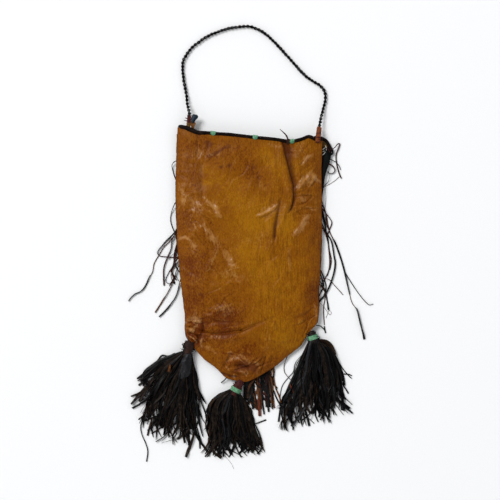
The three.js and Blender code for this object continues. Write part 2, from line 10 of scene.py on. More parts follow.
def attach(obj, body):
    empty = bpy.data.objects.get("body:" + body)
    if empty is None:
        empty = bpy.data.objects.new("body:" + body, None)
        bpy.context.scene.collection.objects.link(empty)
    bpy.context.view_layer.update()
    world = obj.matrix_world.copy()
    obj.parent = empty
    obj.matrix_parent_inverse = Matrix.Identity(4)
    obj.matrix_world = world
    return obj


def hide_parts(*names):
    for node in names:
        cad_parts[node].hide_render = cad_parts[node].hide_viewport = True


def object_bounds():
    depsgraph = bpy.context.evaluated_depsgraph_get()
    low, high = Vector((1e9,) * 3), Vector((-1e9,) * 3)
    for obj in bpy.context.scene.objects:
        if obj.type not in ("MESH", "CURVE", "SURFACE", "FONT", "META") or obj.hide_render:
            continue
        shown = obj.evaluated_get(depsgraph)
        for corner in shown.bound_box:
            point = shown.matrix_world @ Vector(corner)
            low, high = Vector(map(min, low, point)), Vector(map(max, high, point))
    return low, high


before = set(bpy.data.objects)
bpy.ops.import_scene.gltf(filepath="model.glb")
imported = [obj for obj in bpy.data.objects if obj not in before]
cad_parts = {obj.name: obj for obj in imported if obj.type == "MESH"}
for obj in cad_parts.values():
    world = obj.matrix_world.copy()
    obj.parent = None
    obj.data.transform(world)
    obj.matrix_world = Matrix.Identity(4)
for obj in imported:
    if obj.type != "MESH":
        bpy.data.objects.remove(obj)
cad_box = [list(corner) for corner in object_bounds()]

# Studio: a pale paper floor, one broad lamp from the upper left and even light from all round.
# The camera looks straight down on the bag, with 500 pixels to a metre of floor.
VIEW_HEIGHT = 3.0
VIEW_WIDTH = 1.0
LAMP_PLACE, LAMP_SIZE, LAMP_POWER = (-7.0, 6.2, 11.4), 6.0, 1450
SKY_COLOUR = (0.97, 0.985, 1.0, 1)
SKY_OVERHEAD, SKY_SIDES, SKY_SEEN = 0.12, 0.7, 0.93
PAPER_COLOUR, PAPER_ROUGHNESS = (0.975, 0.975, 0.98, 1), 0.9
FLOOR_SIZE, FLOOR_DROP = 8, 0.0003

bpy.ops.object.select_all(action="DESELECT")
bpy.ops.object.camera_add(location=(0, 0, VIEW_HEIGHT), rotation=(0, 0, 0))
camera = bpy.context.active_object
camera.data.angle = 2 * math.atan(VIEW_WIDTH / 2 / VIEW_HEIGHT)
bpy.context.scene.camera = camera

bpy.ops.object.light_add(type="AREA", location=LAMP_PLACE)
lamp = bpy.context.active_object
lamp.data.shape = "SQUARE"
lamp.data.size = LAMP_SIZE
lamp.data.energy = LAMP_POWER
lamp.rotation_euler = (-lamp.location).to_track_quat("-Z", "Y").to_euler()

sky = bpy.data.worlds.new("studio_sky")
sky.use_nodes = True
nodes, links = sky.node_tree.nodes, sky.node_tree.links
heading = nodes.new("ShaderNodeSeparateXYZ")
links.new(nodes.new("ShaderNodeTexCoord").outputs["Generated"], heading.inputs["Vector"])
screens = nodes.new("ShaderNodeMapRange")
screens.interpolation_type = "SMOOTHSTEP"
for socket, value in (("From Min", 0.95), ("From Max", 0.72), ("To Min", SKY_OVERHEAD), ("To Max", SKY_SIDES)):
    screens.inputs[socket].default_value = value
links.new(heading.outputs["Z"], screens.inputs["Value"])
seen = nodes.new("ShaderNodeMix")
links.new(nodes.new("ShaderNodeLightPath").outputs["Is Camera Ray"], seen.inputs["Factor"])
links.new(screens.outputs["Result"], seen.inputs[2])
seen.inputs[3].default_value = SKY_SEEN
links.new(seen.outputs[0], nodes["Background"].inputs["Strength"])
nodes["Background"].inputs["Color"].default_value = SKY_COLOUR
bpy.context.scene.world = sky
bpy.context.scene.view_settings.view_transform = "Standard"

bpy.ops.mesh.primitive_plane_add(size=FLOOR_SIZE, location=(0, 0, cad_box[0][2] - FLOOR_DROP))
floor = bpy.context.active_object
floor.name = "studio_floor"
paper = bpy.data.materials.new("studio_paper")
paper.use_nodes = True
paper_shader = paper.node_tree.nodes["Principled BSDF"]
paper_shader.inputs["Base Color"].default_value = PAPER_COLOUR
paper_shader.inputs["Roughness"].default_value = PAPER_ROUGHNESS
floor.data.materials.append(paper)

# Strap: a round cord twisted from two thin black goatskin thongs. It lies slack on the floor above
# the mouth, and each end goes into a sleeve at a corner of the mouth.
MM = 0.001
WELD = 0.02 * MM
GRAIN_RELIEF = 0.5
STRAP_LENGTH, STRAP_DIAMETER = 548, 5.5
STRAP_LAY, STRAP_STEP = 15.0, 0.9
STRAND_COUNT, STRAND_RADIUS = 2, 1.35
STRAP_LIFT = 0.55
STRAP_ROUTE = [
    (-121.4, 264.6, 16.2), (-120.4, 272.6, 14.6), (-124.6, 289.2, 9), (-127.2, 311.4, 3.6),
    (-132, 337.2, 2.9), (-134.6, 359.4, 2.9), (-133.2, 378, 2.9), (-127.6, 389, 2.9), (-117.2, 403, 2.9),
    (-102.4, 415, 2.9), (-84, 427.2, 2.9), (-65.4, 435.2, 2.9), (-43.2, 442.6, 2.9), (-21, 445.6, 2.9),
    (-4.4, 446.8, 2.9), (12.2, 442.6, 2.9), (30.8, 431.6, 2.9), (49.2, 415, 2.9), (67.8, 394.6, 2.9),
    (86.2, 374.2, 2.9), (101, 357.6, 2.9), (115.8, 344, 2.9), (130.6, 334.2, 2.9), (141.6, 326.8, 2.9),
    (148.4, 318, 2.9), (151, 304, 2.9), (148, 289.2, 3.6), (143.6, 270.6, 8), (139.4, 252.5, 12.1),
    (137.6, 242, 14),
]


def course(points, step):
    """Evenly spaced points on the smooth curve through the given ones, in millimetres."""
    p = np.array(points, float)
    p = np.vstack([2 * p[0] - p[1], p, 2 * p[-1] - p[-2]])
    gaps = np.linalg.norm(np.diff(p, axis=0), axis=1) ** 0.5
    knots = np.concatenate([[0], np.cumsum(np.maximum(gaps, 1e-4))])
    dense = []
    for i in range(1, len(p) - 2):
        a, b, c, d = p[i - 1:i + 3]
        ta, tb, tc, td = knots[i - 1:i + 3]
        t = np.linspace(tb, tc, 16, endpoint=False)[:, None]
        ab = ((tb - t) * a + (t - ta) * b) / (tb - ta)
        bc = ((tc - t) * b + (t - tb) * c) / (tc - tb)
        cd = ((td - t) * c + (t - tc) * d) / (td - tc)
        abc = ((tc - t) * ab + (t - ta) * bc) / (tc - ta)
        bcd = ((td - t) * bc + (t - tb) * cd) / (td - tb)
        dense.append(((tc - t) * abc + (t - tb) * bcd) / (tc - tb))
    dense = np.vstack([*dense, p[-2:-1]])
    run = np.concatenate([[0], np.cumsum(np.linalg.norm(np.diff(dense, axis=0), axis=1))])
    stops = np.linspace(0, run[-1], max(2, round(run[-1] / step) + 1))
    return np.stack([np.interp(stops, run, dense[:, k]) for k in range(dense.shape[1])], axis=1)


def across(path):
    """Unit vectors along a path, level across it, and up from it."""
    along = np.gradient(path, axis=0)
    along /= np.linalg.norm(along, axis=1, keepdims=True)
    side = np.cross((0.0, 0.0, 1.0), along)
    side /= np.linalg.norm(side, axis=1, keepdims=True)
    return along, side, np.cross(along, side)


def srgb(r, g, b):
    """A colour as the eye reads it, 0 to 255, for a shader."""
    return (*(((c / 255 + 0.055) / 1.055) ** 2.4 if c > 10 else c / 255 / 12.92 for c in (r, g, b)), 1.0)


class Wire:
    """One output of a material's nodes. Sums on it add Math nodes, and node() adds any other."""

    def __init__(self, tree, socket):
        self.tree, self.socket = tree, socket

    def node(self, kind, settings, sockets, output=0):
        """One of the outputs of a new node, with its settings and its sockets given."""
        made = self.tree.nodes.new(kind)
        for name, value in settings.items():
            setattr(made, name, value)
        for name, value in sockets.items():
            if isinstance(value, Wire):
                self.tree.links.new(value.socket, made.inputs[name])
            else:
                made.inputs[name].default_value = value
        return Wire(self.tree, made.outputs[output])

    def sum(self, operation, *values):
        """A new Math node's result."""
        return self.node("ShaderNodeMath", {"operation": operation}, dict(enumerate(values)))

    def __add__(self, other):
        return self.sum("ADD", self, other)

    def __sub__(self, other):
        return self.sum("SUBTRACT", self, other)

    def __rsub__(self, other):
        return self.sum("SUBTRACT", other, self)

    def __mul__(self, other):
        return self.sum("MULTIPLY", self, other)

    __radd__, __rmul__ = __add__, __mul__

    def step(self, low, high):
        """0 below low, 1 above high, and a smooth rise between."""
        sockets = {"Value": self, "From Min": low, "From Max": high}
        return self.node("ShaderNodeMapRange", {"interpolation_type": "SMOOTHSTEP"}, sockets)

    def stretched(self, x, y, z):
        """This place with its axes scaled, so that what is read there stretches."""
        return self.node("ShaderNodeMapping", {}, {"Vector": self, "Scale": (x, y, z)})

    def mottle(self, per_metre, detail=2.0):
        """Soft noise about 0.5, read at this place."""
        sockets = {"Vector": self, "Scale": per_metre, "Detail": detail}
        return self.node("ShaderNodeTexNoise", {}, sockets)

    def cells(self, per_metre, feature="F1"):
        """How far this place is from the middle of its cell, among cells strewn at random."""
        sockets = {"Vector": self, "Scale": per_metre}
        return self.node("ShaderNodeTexVoronoi", {"feature": feature}, sockets, "Distance")

    def tint(self, start, end):
        """A colour from start to end as this value goes from 0 to 1."""
        return self.node("ShaderNodeMix", {"data_type": "RGBA"}, {0: self, 6: start, 7: end}, 2)

    def layer(self, name):
        """A value that the piece's own mesh carries."""
        return self.node("ShaderNodeAttribute", {"attribute_name": name}, {}, "Fac")


def new_hide(name, **plain):
    """A material, its shader and its Object coordinates; plain gives sockets that are the same all over."""
    hide = bpy.data.materials.new(name)
    hide.use_nodes = True
    shader = hide.node_tree.nodes["Principled BSDF"]
    for socket, value in plain.items():
        shader.inputs[socket.replace("_", " ")].default_value = value
    place = hide.node_tree.nodes.new("ShaderNodeTexCoord").outputs["Object"]
    return hide, shader, Wire(hide.node_tree, place)


def finish_hide(shader, colour, rough, height, relief):
    """Joins a colour, a roughness and a height in millimetres to a shader."""
    links = colour.tree.links
    links.new(colour.socket, shader.inputs["Base Color"])
    links.new(rough.socket, shader.inputs["Roughness"])
    sockets = {"Height": height, "Distance": MM, "Strength": relief}
    links.new(height.node("ShaderNodeBump", {}, sockets).socket, shader.inputs["Normal"])


def dyed_leather(name, dark, mid, worn, patch=45, grain=900, rough=0.5, wear=0.62, shine=0.15):
    """Dyed leather in two shades, rubbed paler in places, with a pebbled grain.

    Patches and grains are so many to the metre; the higher wear is, the less of the leather is rubbed."""
    hide, shader, place = new_hide(name, Specular_IOR_Level=shine)
    patches = place.mottle(patch, 4)
    fine = place.mottle(patch * 7, 3)
    pebble = place.cells(grain, "SMOOTH_F1")
    tone = patches * 0.65 + fine * 0.35
    rubbed = (fine * 0.6 + patches * 0.4).step(wear - 0.07, wear + 0.1)
    colour = rubbed.tint(tone.step(0.36, 0.6).tint(srgb(*dark), srgb(*mid)), srgb(*worn))
    finish_hide(shader, colour, fine * 0.3 + (rough - 0.15), pebble * 0.22 + fine * 0.5, GRAIN_RELIEF)
    return hide


def deselect():
    """Leaves edit mode and lets go of every piece."""
    if bpy.context.object and bpy.context.object.mode != "OBJECT":
        bpy.ops.object.mode_set(mode="OBJECT")
    bpy.ops.object.select_all(action="DESELECT")


def take(piece):
    """Makes a piece the one that operators act on."""
    deselect()
    piece.select_set(True)
    bpy.context.view_layer.objects.active = piece


def close_up(piece):
    """Welds the seams of a mesh and turns its faces outwards."""
    take(piece)
    bpy.ops.object.mode_set(mode="EDIT")
    bpy.ops.mesh.select_all(action="SELECT")
    bpy.ops.mesh.remove_doubles(threshold=WELD)
    bpy.ops.mesh.normals_make_consistent(inside=False)
    bpy.ops.object.mode_set(mode="OBJECT")


def settle(piece, body, node, angle=180):
    """Smooths a finished piece, sets it on its body and lets it stand for its CAD node."""
    take(piece)
    bpy.ops.object.shade_smooth_by_angle(angle=math.radians(angle))
    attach(piece, body)
    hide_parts(node)
    deselect()


def drawn(name, hides):
    """A new empty curve for strips or thongs, with the leathers that they are cut from."""
    line = bpy.data.curves.new(name, "CURVE")
    line.dimensions = "3D"
    line.twist_mode = "Z_UP"
    line.use_fill_caps = True
    for hide in hides:
        line.materials.append(hide)
    return line


def run_through(line, path, widths=1.0, turns=0.0, hide=0):
    """Adds one strip along a path: widths scale its section, and turns twist it, in radians."""
    count = len(path)
    spline = line.splines.new("POLY")
    spline.points.add(count - 1)
    spline.points.foreach_set("co", np.column_stack([path * MM, np.ones(count)]).ravel())
    spline.points.foreach_set("radius", np.broadcast_to(widths, count).astype(float))
    spline.points.foreach_set("tilt", np.broadcast_to(turns, count).astype(float))
    spline.material_index = hide


def made_mesh(line):
    """Turns a curve's strips into one closed mesh."""
    piece = bpy.data.objects.new(line.name, line)
    bpy.context.scene.collection.objects.link(piece)
    take(piece)
    bpy.ops.object.convert(target="MESH")
    piece = bpy.context.active_object
    close_up(piece)
    return piece


strap_black = dyed_leather("strap_black", (3, 2, 3), (7, 5, 6), (20, 18, 18), patch=220, rough=0.45, shine=0.06)
strap_path = course(STRAP_ROUTE, STRAP_STEP)
along, side, up = across(strap_path)
run = np.linspace(0, np.linalg.norm(np.diff(strap_path, axis=0), axis=1).sum(), len(strap_path))
strap_line = drawn("strap", [strap_black])
strap_line.bevel_depth = STRAND_RADIUS * MM
strap_line.bevel_resolution = 2
# the twist is looser in places, and each thong is knobbly
for strand in range(STRAND_COUNT):
    angle = math.tau * (run / STRAP_LAY + strand / STRAND_COUNT) + 0.5 * np.sin(run / 17)
    wobble = 1.2 + 0.2 * np.sin(run / 9.3 + 2.1 * strand)
    reach = (STRAP_DIAMETER / 2 - STRAND_RADIUS) * wobble
    offset = side * (reach * np.cos(angle))[:, None] + up * (reach * np.sin(angle) + STRAP_LIFT)[:, None]
    knobs = 0.3 * np.cos(2 * angle) + 0.12 * np.sin(run / 3.1 + 1.7 * np.sin(run / 31) + 4 * strand)
    run_through(strap_line, strap_path + offset, 1 + knobs)
strap = made_mesh(strap_line)
settle(strap, "bag", "strap_cord")

# Front panel: the bag's other side, a dark green-black goatskin that lies on the floor. It is wider at
# the right of the mouth, where its olive flesh side shows past the back panel's edge.
SEAM_HALF, SEAM_HEIGHT = 1.7, 9
FRONT_LEATHER = 1.4
FRONT_LOW, FRONT_MOUTH = 0.8, 4.1
MOUTH_LEFT, MOUTH_RIGHT = np.array((-144.0, 244)), np.array((144.0, 218))
FOOT_LEFT, FOOT_RIGHT = np.array((-120.0, -187)), np.array((126.0, -155))
FOOT_FALL = np.array([
    (0, 0), (0.057, 0.17), (0.119, 0.37), (0.21, 0.575), (0.293, 0.815), (0.37, 0.9), (0.4545, 0.955), (0.535, 0.9),
    (0.69, 0.715), (0.78, 0.55), (0.9, 0.34), (0.955, 0.12), (1, 0),
])
TIP_DROP = 94
FOOT_LIFT = 3
# each sink of the foot's seam: its depth, then where along the foot it starts and ends
FOOT_SINKS = [(3, (0.05, 0.2), (0.34, 0.43)), (6, (0.54, 0.66), (0.86, 0.97))]
LEFT_BOW, LEFT_EAR = 13, 4.5
RIGHT_BOW, RIGHT_EAR = 8.6, 6
MOUTH_SAG = 9
# each dip of the mouth: how far the edge rises (or drops, below zero), where along it, and how wide
MOUTH_DIPS = [(-4.6, 0.135, 0.06), (1.2, 0.36, 0.1), (-3.6, 0.778, 0.06), (4.2, 0.903, 0.03), (-1.8, 0.958, 0.022)]
PEEK_OUT, PEEK_DOWN = 19.0, 22.0
# how much of the front panel's extra width is left, down its right edge
PEEK_PLACES = [0, 0.038, 0.078, 0.125, 0.17, 0.225, 0.303, 0.33]
PEEK_SHARES = [1, 0.92, 0.79, 0.56, 0.37, 0.27, 0.08, 0]


def rise(x, low, high):
    """0 below low, 1 above high, and a smooth rise between."""
    t = np.clip((np.asarray(x, float) - low) / (high - low), 0, 1)
    return t * t * (3 - 2 * t)


def mix(start, end, share):
    """The values that lie at a share of the way from start to end."""
    return start + (end - start) * share


def between(start, end, share):
    """The places that lie at a share of the way from start to end."""
    return mix(start, end, np.asarray(share, float)[..., None])


def level(x, y):
    """Places seen from above, from their x and their y."""
    return np.stack(np.broadcast_arrays(np.asarray(x, float), np.asarray(y, float)), axis=-1)


def foot_edge(u):
    """The pointed foot's edge, from its left corner to its right one."""
    place = np.clip(np.asarray(u, float), 0, 1) * (len(FOOT_FALL) - 1)
    first = np.minimum(place.astype(int), len(FOOT_FALL) - 2)
    t = (place - first)[..., None]
    a, b, c, d = (FOOT_FALL[np.clip(first + k, 0, len(FOOT_FALL) - 1)] for k in (-1, 0, 1, 2))
    fall = b + 0.5 * t * (c - a + t * (2 * a - 5 * b + 4 * c - d + t * (3 * (b - c) + d - a)))
    return between(FOOT_LEFT, FOOT_RIGHT, fall[..., 0]) - level(0, TIP_DROP * fall[..., 1])


def mouth_edge(u):
    """The slack edge of the mouth, with its dips and the hump beside the right sleeve."""
    sag = -MOUTH_SAG * rise(u, 0, 0.28) * (1 - rise(u, 0.7, 0.98))
    for lift, place, width in MOUTH_DIPS:
        sag = sag + lift * np.exp(-((np.asarray(u) - place) / width) ** 2)
    return between(MOUTH_LEFT, MOUTH_RIGHT, u) + level(0, sag)


def left_edge(v):
    """The left seam, bowed outwards, with a small ear above the foot."""
    ear = LEFT_EAR * rise(v, 0.86, 0.94) * (1 - rise(v, 0.955, 1))
    return between(MOUTH_LEFT, FOOT_LEFT, v) - level(LEFT_BOW * np.sin(math.pi * np.asarray(v)) + ear, 0)


def right_edge(v):
    """The right seam, bowed low down, with a longer ear above the foot."""
    bow = RIGHT_BOW * np.sin(math.pi * np.clip(np.asarray(v, float), 0, 1) ** 1.6)
    bow = bow + RIGHT_EAR * rise(v, 0.78, 0.94) * (1 - rise(v, 0.965, 1))
    return between(MOUTH_RIGHT, FOOT_RIGHT, v) + level(bow, 0)


def front_mouth(u):
    """The front panel's mouth, which goes past the back panel's at the right."""
    return mouth_edge(u) + level(PEEK_OUT * rise(u, 0.45, 0.95), -PEEK_DOWN * rise(u, 0.945, 1) ** 1.4)


def front_right(v):
    """The front panel's right edge, which comes in to the seam below the mouth."""
    left_over = np.interp(v, PEEK_PLACES, PEEK_SHARES)
    return right_edge(v) + level(PEEK_OUT * left_over, -PEEK_DOWN * left_over)


FRONT = (front_mouth, foot_edge, left_edge, front_right)


def on_panel(edges, u, v):
    """Places seen from above, blended from a panel's four edges; v runs from the mouth to the foot."""
    mouth, foot, left, right = edges
    mouth_chord = between(mouth(np.zeros_like(u)), mouth(np.ones_like(u)), u)
    foot_chord = between(foot(np.zeros_like(u)), foot(np.ones_like(u)), u)
    return between(left(v), right(v), u) + between(mouth(u), foot(u), v) - between(mouth_chord, foot_chord, v)


def seam_height(u, v):
    """The seam's height: it rises at the foot, which the tassels' necks hold up, and sinks between them."""
    sunk = sum(depth * rise(u, *start) * (1 - rise(u, *end)) for depth, start, end in FOOT_SINKS)
    return SEAM_HEIGHT + (FOOT_LIFT - sunk) * rise(v, 0.75, 1)


def front_height(u, v):
    """The front panel's height: it lies on the floor and rises to the seam at its sides and foot."""
    laid = rise(0.5 - np.abs(u - 0.5), 0, 0.08) * (1 - rise(v, 0.86, 1))
    seam = seam_height(u, v) - SEAM_HALF
    return mix(FRONT_MOUTH, mix(seam, FRONT_LOW, laid), rise(v, 0, 0.05))


def lumps(place, size, seed):
    """Soft seeded bumps from -1 to 1, about as wide as size, over an array of places seen from above."""
    flat = place.reshape(-1, 2) / size
    return np.array([noise.noise((x, y, seed)) for x, y in flat]).reshape(place.shape[:-1])


def laid_grid(name, rows, *hides):
    """A grid mesh whose vertices lie on rows of points, given from the foot upwards in millimetres."""
    count_y, count_x = rows.shape[:2]
    deselect()
    bpy.ops.mesh.primitive_grid_add(x_subdivisions=count_x - 1, y_subdivisions=count_y - 1, size=1)
    piece = bpy.context.active_object
    piece.name = piece.data.name = name
    piece.data.vertices.foreach_set("co", (rows * MM).ravel())
    piece.data.update()
    for hide in hides:
        piece.data.materials.append(hide)
    return piece


def thicken(piece, leather, offset=0.0):
    """Gives a sheet its leather's thickness, in millimetres; an offset of 1 puts it all outside the sheet."""
    take(piece)
    solid = piece.modifiers.new("leather", "SOLIDIFY")
    solid.thickness = leather * MM
    solid.offset = offset
    bpy.ops.object.modifier_apply(modifier=solid.name)


front_dark = dyed_leather("front_dark", (2, 4, 4), (6, 9, 9), (16, 20, 17), patch=60, grain=700, shine=0.05)
front_flesh = dyed_leather(
    "front_flesh", (74, 56, 24), (108, 86, 44), (144, 118, 72), patch=90, grain=500, rough=0.75,
)
u, v = np.meshgrid(np.linspace(0, 1, 72), np.linspace(1, 0, 120))
front_plan = on_panel(FRONT, u, v)
front_rows = np.dstack([front_plan, front_height(u, v)])
inner = rise(np.minimum(u, 1 - u), 0, 0.1) * rise(v, 0, 0.08) * rise(1 - v, 0, 0.1)
front_rows[..., 2] += np.maximum(lumps(front_plan, 38, 4.1) + 0.1, 0) * 1.1 * inner
front_panel = laid_grid("front_panel_leather", front_rows, front_dark, front_flesh)
thicken(front_panel, FRONT_LEATHER)
# the flesh side shows inside the bag and past the mouth's right corner
for face in front_panel.data.polygons:
    x, y, _ = face.center
    face.material_index = 1 if face.normal.z > 0.2 and y > -0.15 and (x < 0.12 or y > 0.205) else 0
settle(front_panel, "bag", "front_panel", angle=50)

# Back panel: one waxed tan goatskin, the side that shows. It is sewn to the front panel round the sides
# and foot and stands a little proud of it; use has left folds, gathered corners, wax and dark stains.
# Painted light and shade go into its colour as well: shadow in its tucks, creases and the foot's hollow,
# light on fold flanks and wrinkle crests, and a sheen on its wax.
BACK_LEATHER = 1.6
CROWN = 22
MOUTH_HEIGHT, MOUTH_GAPE = 14.5, 10
PANEL_WIDTH, PANEL_LENGTH = 270, 420
# each fold: depth (below zero a valley) and width at its start and end, then its line, in millimetres
FOLDS = [
    (-2.4, 2.6, -1.2, 2.4, [(87, 100), (85, 88), (78, 75)]),
    (2.2, 8.0, 1.6, 6.0, [(92, 196), (97, 160), (100, 128), (101, 100)]),
    (1.8, 8.0, 1.4, 6.0, [(58, 202), (67, 166), (76, 130), (79, 108)]),
    (-1.2, 2.6, -0.6, 2.6, [(88, 81), (96, 72), (104, 67)]),
    (1.8, 6.5, 1.2, 6.0, [(74, 88), (66, 62), (60, 36)]),
    (-2.6, 3.2, -3.0, 3.2, [(-100, -160), (-76, -165), (-53, -165.4), (-18, -160)]),
    (-3.0, 3.2, -1.0, 3.6, [(-18, -160), (4, -151), (25, -142.6), (44, -137)]),
    (1.6, 7.0, 1.3, 7.0, [(-104, -174), (-76, -177), (-50, -178), (-16, -172), (6, -162)]),
    (1.2, 7.0, 1.6, 6.0, [(-83, -136), (-68, -122), (-53, -112), (-34, -118), (-14, -127.4)]),
    (-1.5, 4.5, -1.2, 5.0, [(-84, -147), (-60, -140), (-36, -141), (-10, -146)]),
    (-1.7, 2.4, -0.8, 3.0, [(-117, -180), (-108, -160), (-99, -136)]),
    (-1.6, 2.4, -0.8, 3.0, [(-114, -184), (-98, -168), (-86, -150)]),
    (-1.3, 2.2, -0.6, 2.8, [(-121, -176), (-119, -156), (-116, -134)]),
    (1.4, 3.4, 0.8, 4.0, [(-118, -160), (-108, -143), (-106, -128)]),
    (2.4, 2.0, 1.8, 2.2, [(-121.6, -170.5), (-113, -176), (-105.4, -184)]),
    (1.8, 2.0, 1.4, 2.0, [(-119.4, -177), (-117.4, -184), (-116.6, -192)]),
    (-2.4, 2.2, -1.4, 2.4, [(-120, -164.6), (-112, -166.6), (-104, -170), (-101, -184)]),
    (2.2, 4.2, 1.4, 4.0, [(-124, -159), (-115, -158.6), (-108, -161)]),
    (1.6, 2.2, 1.4, 2.2, [(-128, -154), (-120, -150), (-112, -146)]),
    (-2.6, 4.0, -1.6, 4.0, [(-92, -139), (-91, -150), (-94, -160)]),
    (2.0, 2.4, 1.6, 2.6, [(-100.4, -141), (-99.4, -149), (-97, -157)]),
    (1.8, 5.0, 1.6, 5.0, [(-42, -230), (-28, -220), (-14, -217), (16, -222)]),
    (-1.8, 5.0, -1.2, 6.0, [(-34, -212), (-14, -206), (10, -210)]),
    (-3.4, 4.4, -3.0, 4.4, [(-26, -230), (-12, -229), (-2, -233)]),
    (-2.8, 3.2, -2.4, 3.2, [(-56, -244), (-38, -250), (-20, -250)]),
    (-2.0, 3.6, -1.6, 3.6, [(-38, -208), (-48, -224), (-58, -240)]),
    (1.6, 3.4, 1.2, 3.4, [(-30, -208), (-39, -222), (-50, -236)]),
    (2.6, 3.0, 2.2, 3.0, [(-42, -239), (-24, -242), (-8, -242)]),
    (-2.2, 2.6, -1.6, 2.6, [(31, -212), (26, -230), (20, -245)]),
    (1.6, 3.0, 1.2, 3.0, [(40, -208), (34, -226), (27, -242)]),
    (1.7, 3.4, 1.0, 3.2, [(-16, -247), (-8, -242), (0, -246)]),
    (-1.2, 2.2, -0.5, 3.0, [(-20, -254), (-24, -243), (-22, -231)]),
    (-1.0, 2.0, -0.4, 3.0, [(2, -254), (7, -244), (14, -236)]),
    (-0.7, 2.6, -0.6, 2.6, [(23, -164), (20, -196)]),
    (-0.9, 2.2, -0.6, 2.4, [(131, -113), (129, -133)]),
    (-1.3, 2.4, -0.5, 2.8, [(118, -148), (104, -138), (88, -134)]),
    (-1.2, 2.4, -0.4, 2.8, [(121, -140), (113, -122), (108, -104)]),
    (-1.3, 2.4, -0.5, 2.6, [(88, 212), (94, 198), (96, 184)]),
    (-1.1, 2.4, -0.5, 2.6, [(101, 213), (97, 198), (95, 188)]),
    (-1.2, 2.4, -0.4, 2.8, [(121, 213), (110, 202), (101, 190)]),
    (1.2, 3.0, 0.9, 3.6, [(107.6, 172), (112, 179), (117, 186)]),
    (1.5, 4.0, 1.4, 4.0, [(92, 116), (105, 131), (118, 146)]),
    (1.4, 4.0, 0.8, 4.0, [(118, 146), (128, 142), (139, 135)]),
    (-0.9, 4.5, -0.8, 4.5, [(100, 112), (120, 128), (136, 122)]),
    (1.1, 3.4, 1.0, 3.4, [(86, 27), (99, 46), (112, 65)]),
    (1.3, 3.4, 1.0, 3.6, [(18, 67), (34, 75), (52, 87)]),
    (-0.8, 3.0, -0.7, 3.0, [(20, 60), (36, 68), (52, 79)]),
    (1.4, 4.0, 1.1, 4.0, [(-90, 101), (-75, 79), (-56, 65)]),
    (1.2, 3.6, 1.0, 4.0, [(-98, 44), (-80, 30), (-63, 14)]),
    (1.1, 4.0, 0.9, 4.0, [(-131, 64), (-130, 86), (-126, 108)]),
    (0.9, 4.0, 0.9, 4.0, [(-141, 13), (-130, 21), (-119, 25)]),
    (1.2, 3.6, 1.0, 3.4, [(-86, -40), (-76, -20), (-65, 3)]),
    (0.9, 4.0, 0.9, 4.0, [(-74, -72), (-48, -66), (-16, -63)]),
    (0.9, 4.0, 0.7, 4.0, [(75, -8), (78, -24), (80, -40)]),
    (-1.0, 3.0, -0.5, 3.0, [(-112, 210), (-106, 190), (-108, 172)]),
    (-0.9, 2.6, -0.4, 3.0, [(-82, 214), (-85, 196), (-92, 182)]),
    (-0.9, 3.0, -0.5, 3.4, [(-134, 150), (-122, 141), (-112, 130)]),
    (-0.9, 3.0, -0.5, 3.4, [(-136, -30), (-122, -42), (-106, -50)]),
]
# each tuck: depth and how far its soft side spreads at its start and end, which side is soft, its sharp edge.
# The shadow that the tuck's flap casts on its soft side is painted into the skin's colour.
TUCKS = [
    (4.6, 15.0, 3.0, 4.0, 1, [(63, 216), (66.5, 204), (74.8, 167), (79.8, 147), (84.7, 129), (86.1, 111),
        (85.6, 98), (80, 79)]),
    (1.0, 5.0, 3.0, 5.0, -1, [(61.6, 104), (60, 96), (56.5, 78), (51.8, 54), (48.3, 22)]),
    (0.8, 9.0, 0.8, 9.0, -1, [(-96, 176), (-97.5, 138), (-96, 104)]),
    (0.7, 4.0, 0.7, 4.0, -1, [(16.6, 152), (15.2, 122)]),
    (0.9, 6.0, 0.6, 6.0, -1, [(-104, 226), (-105, 190)]),
]
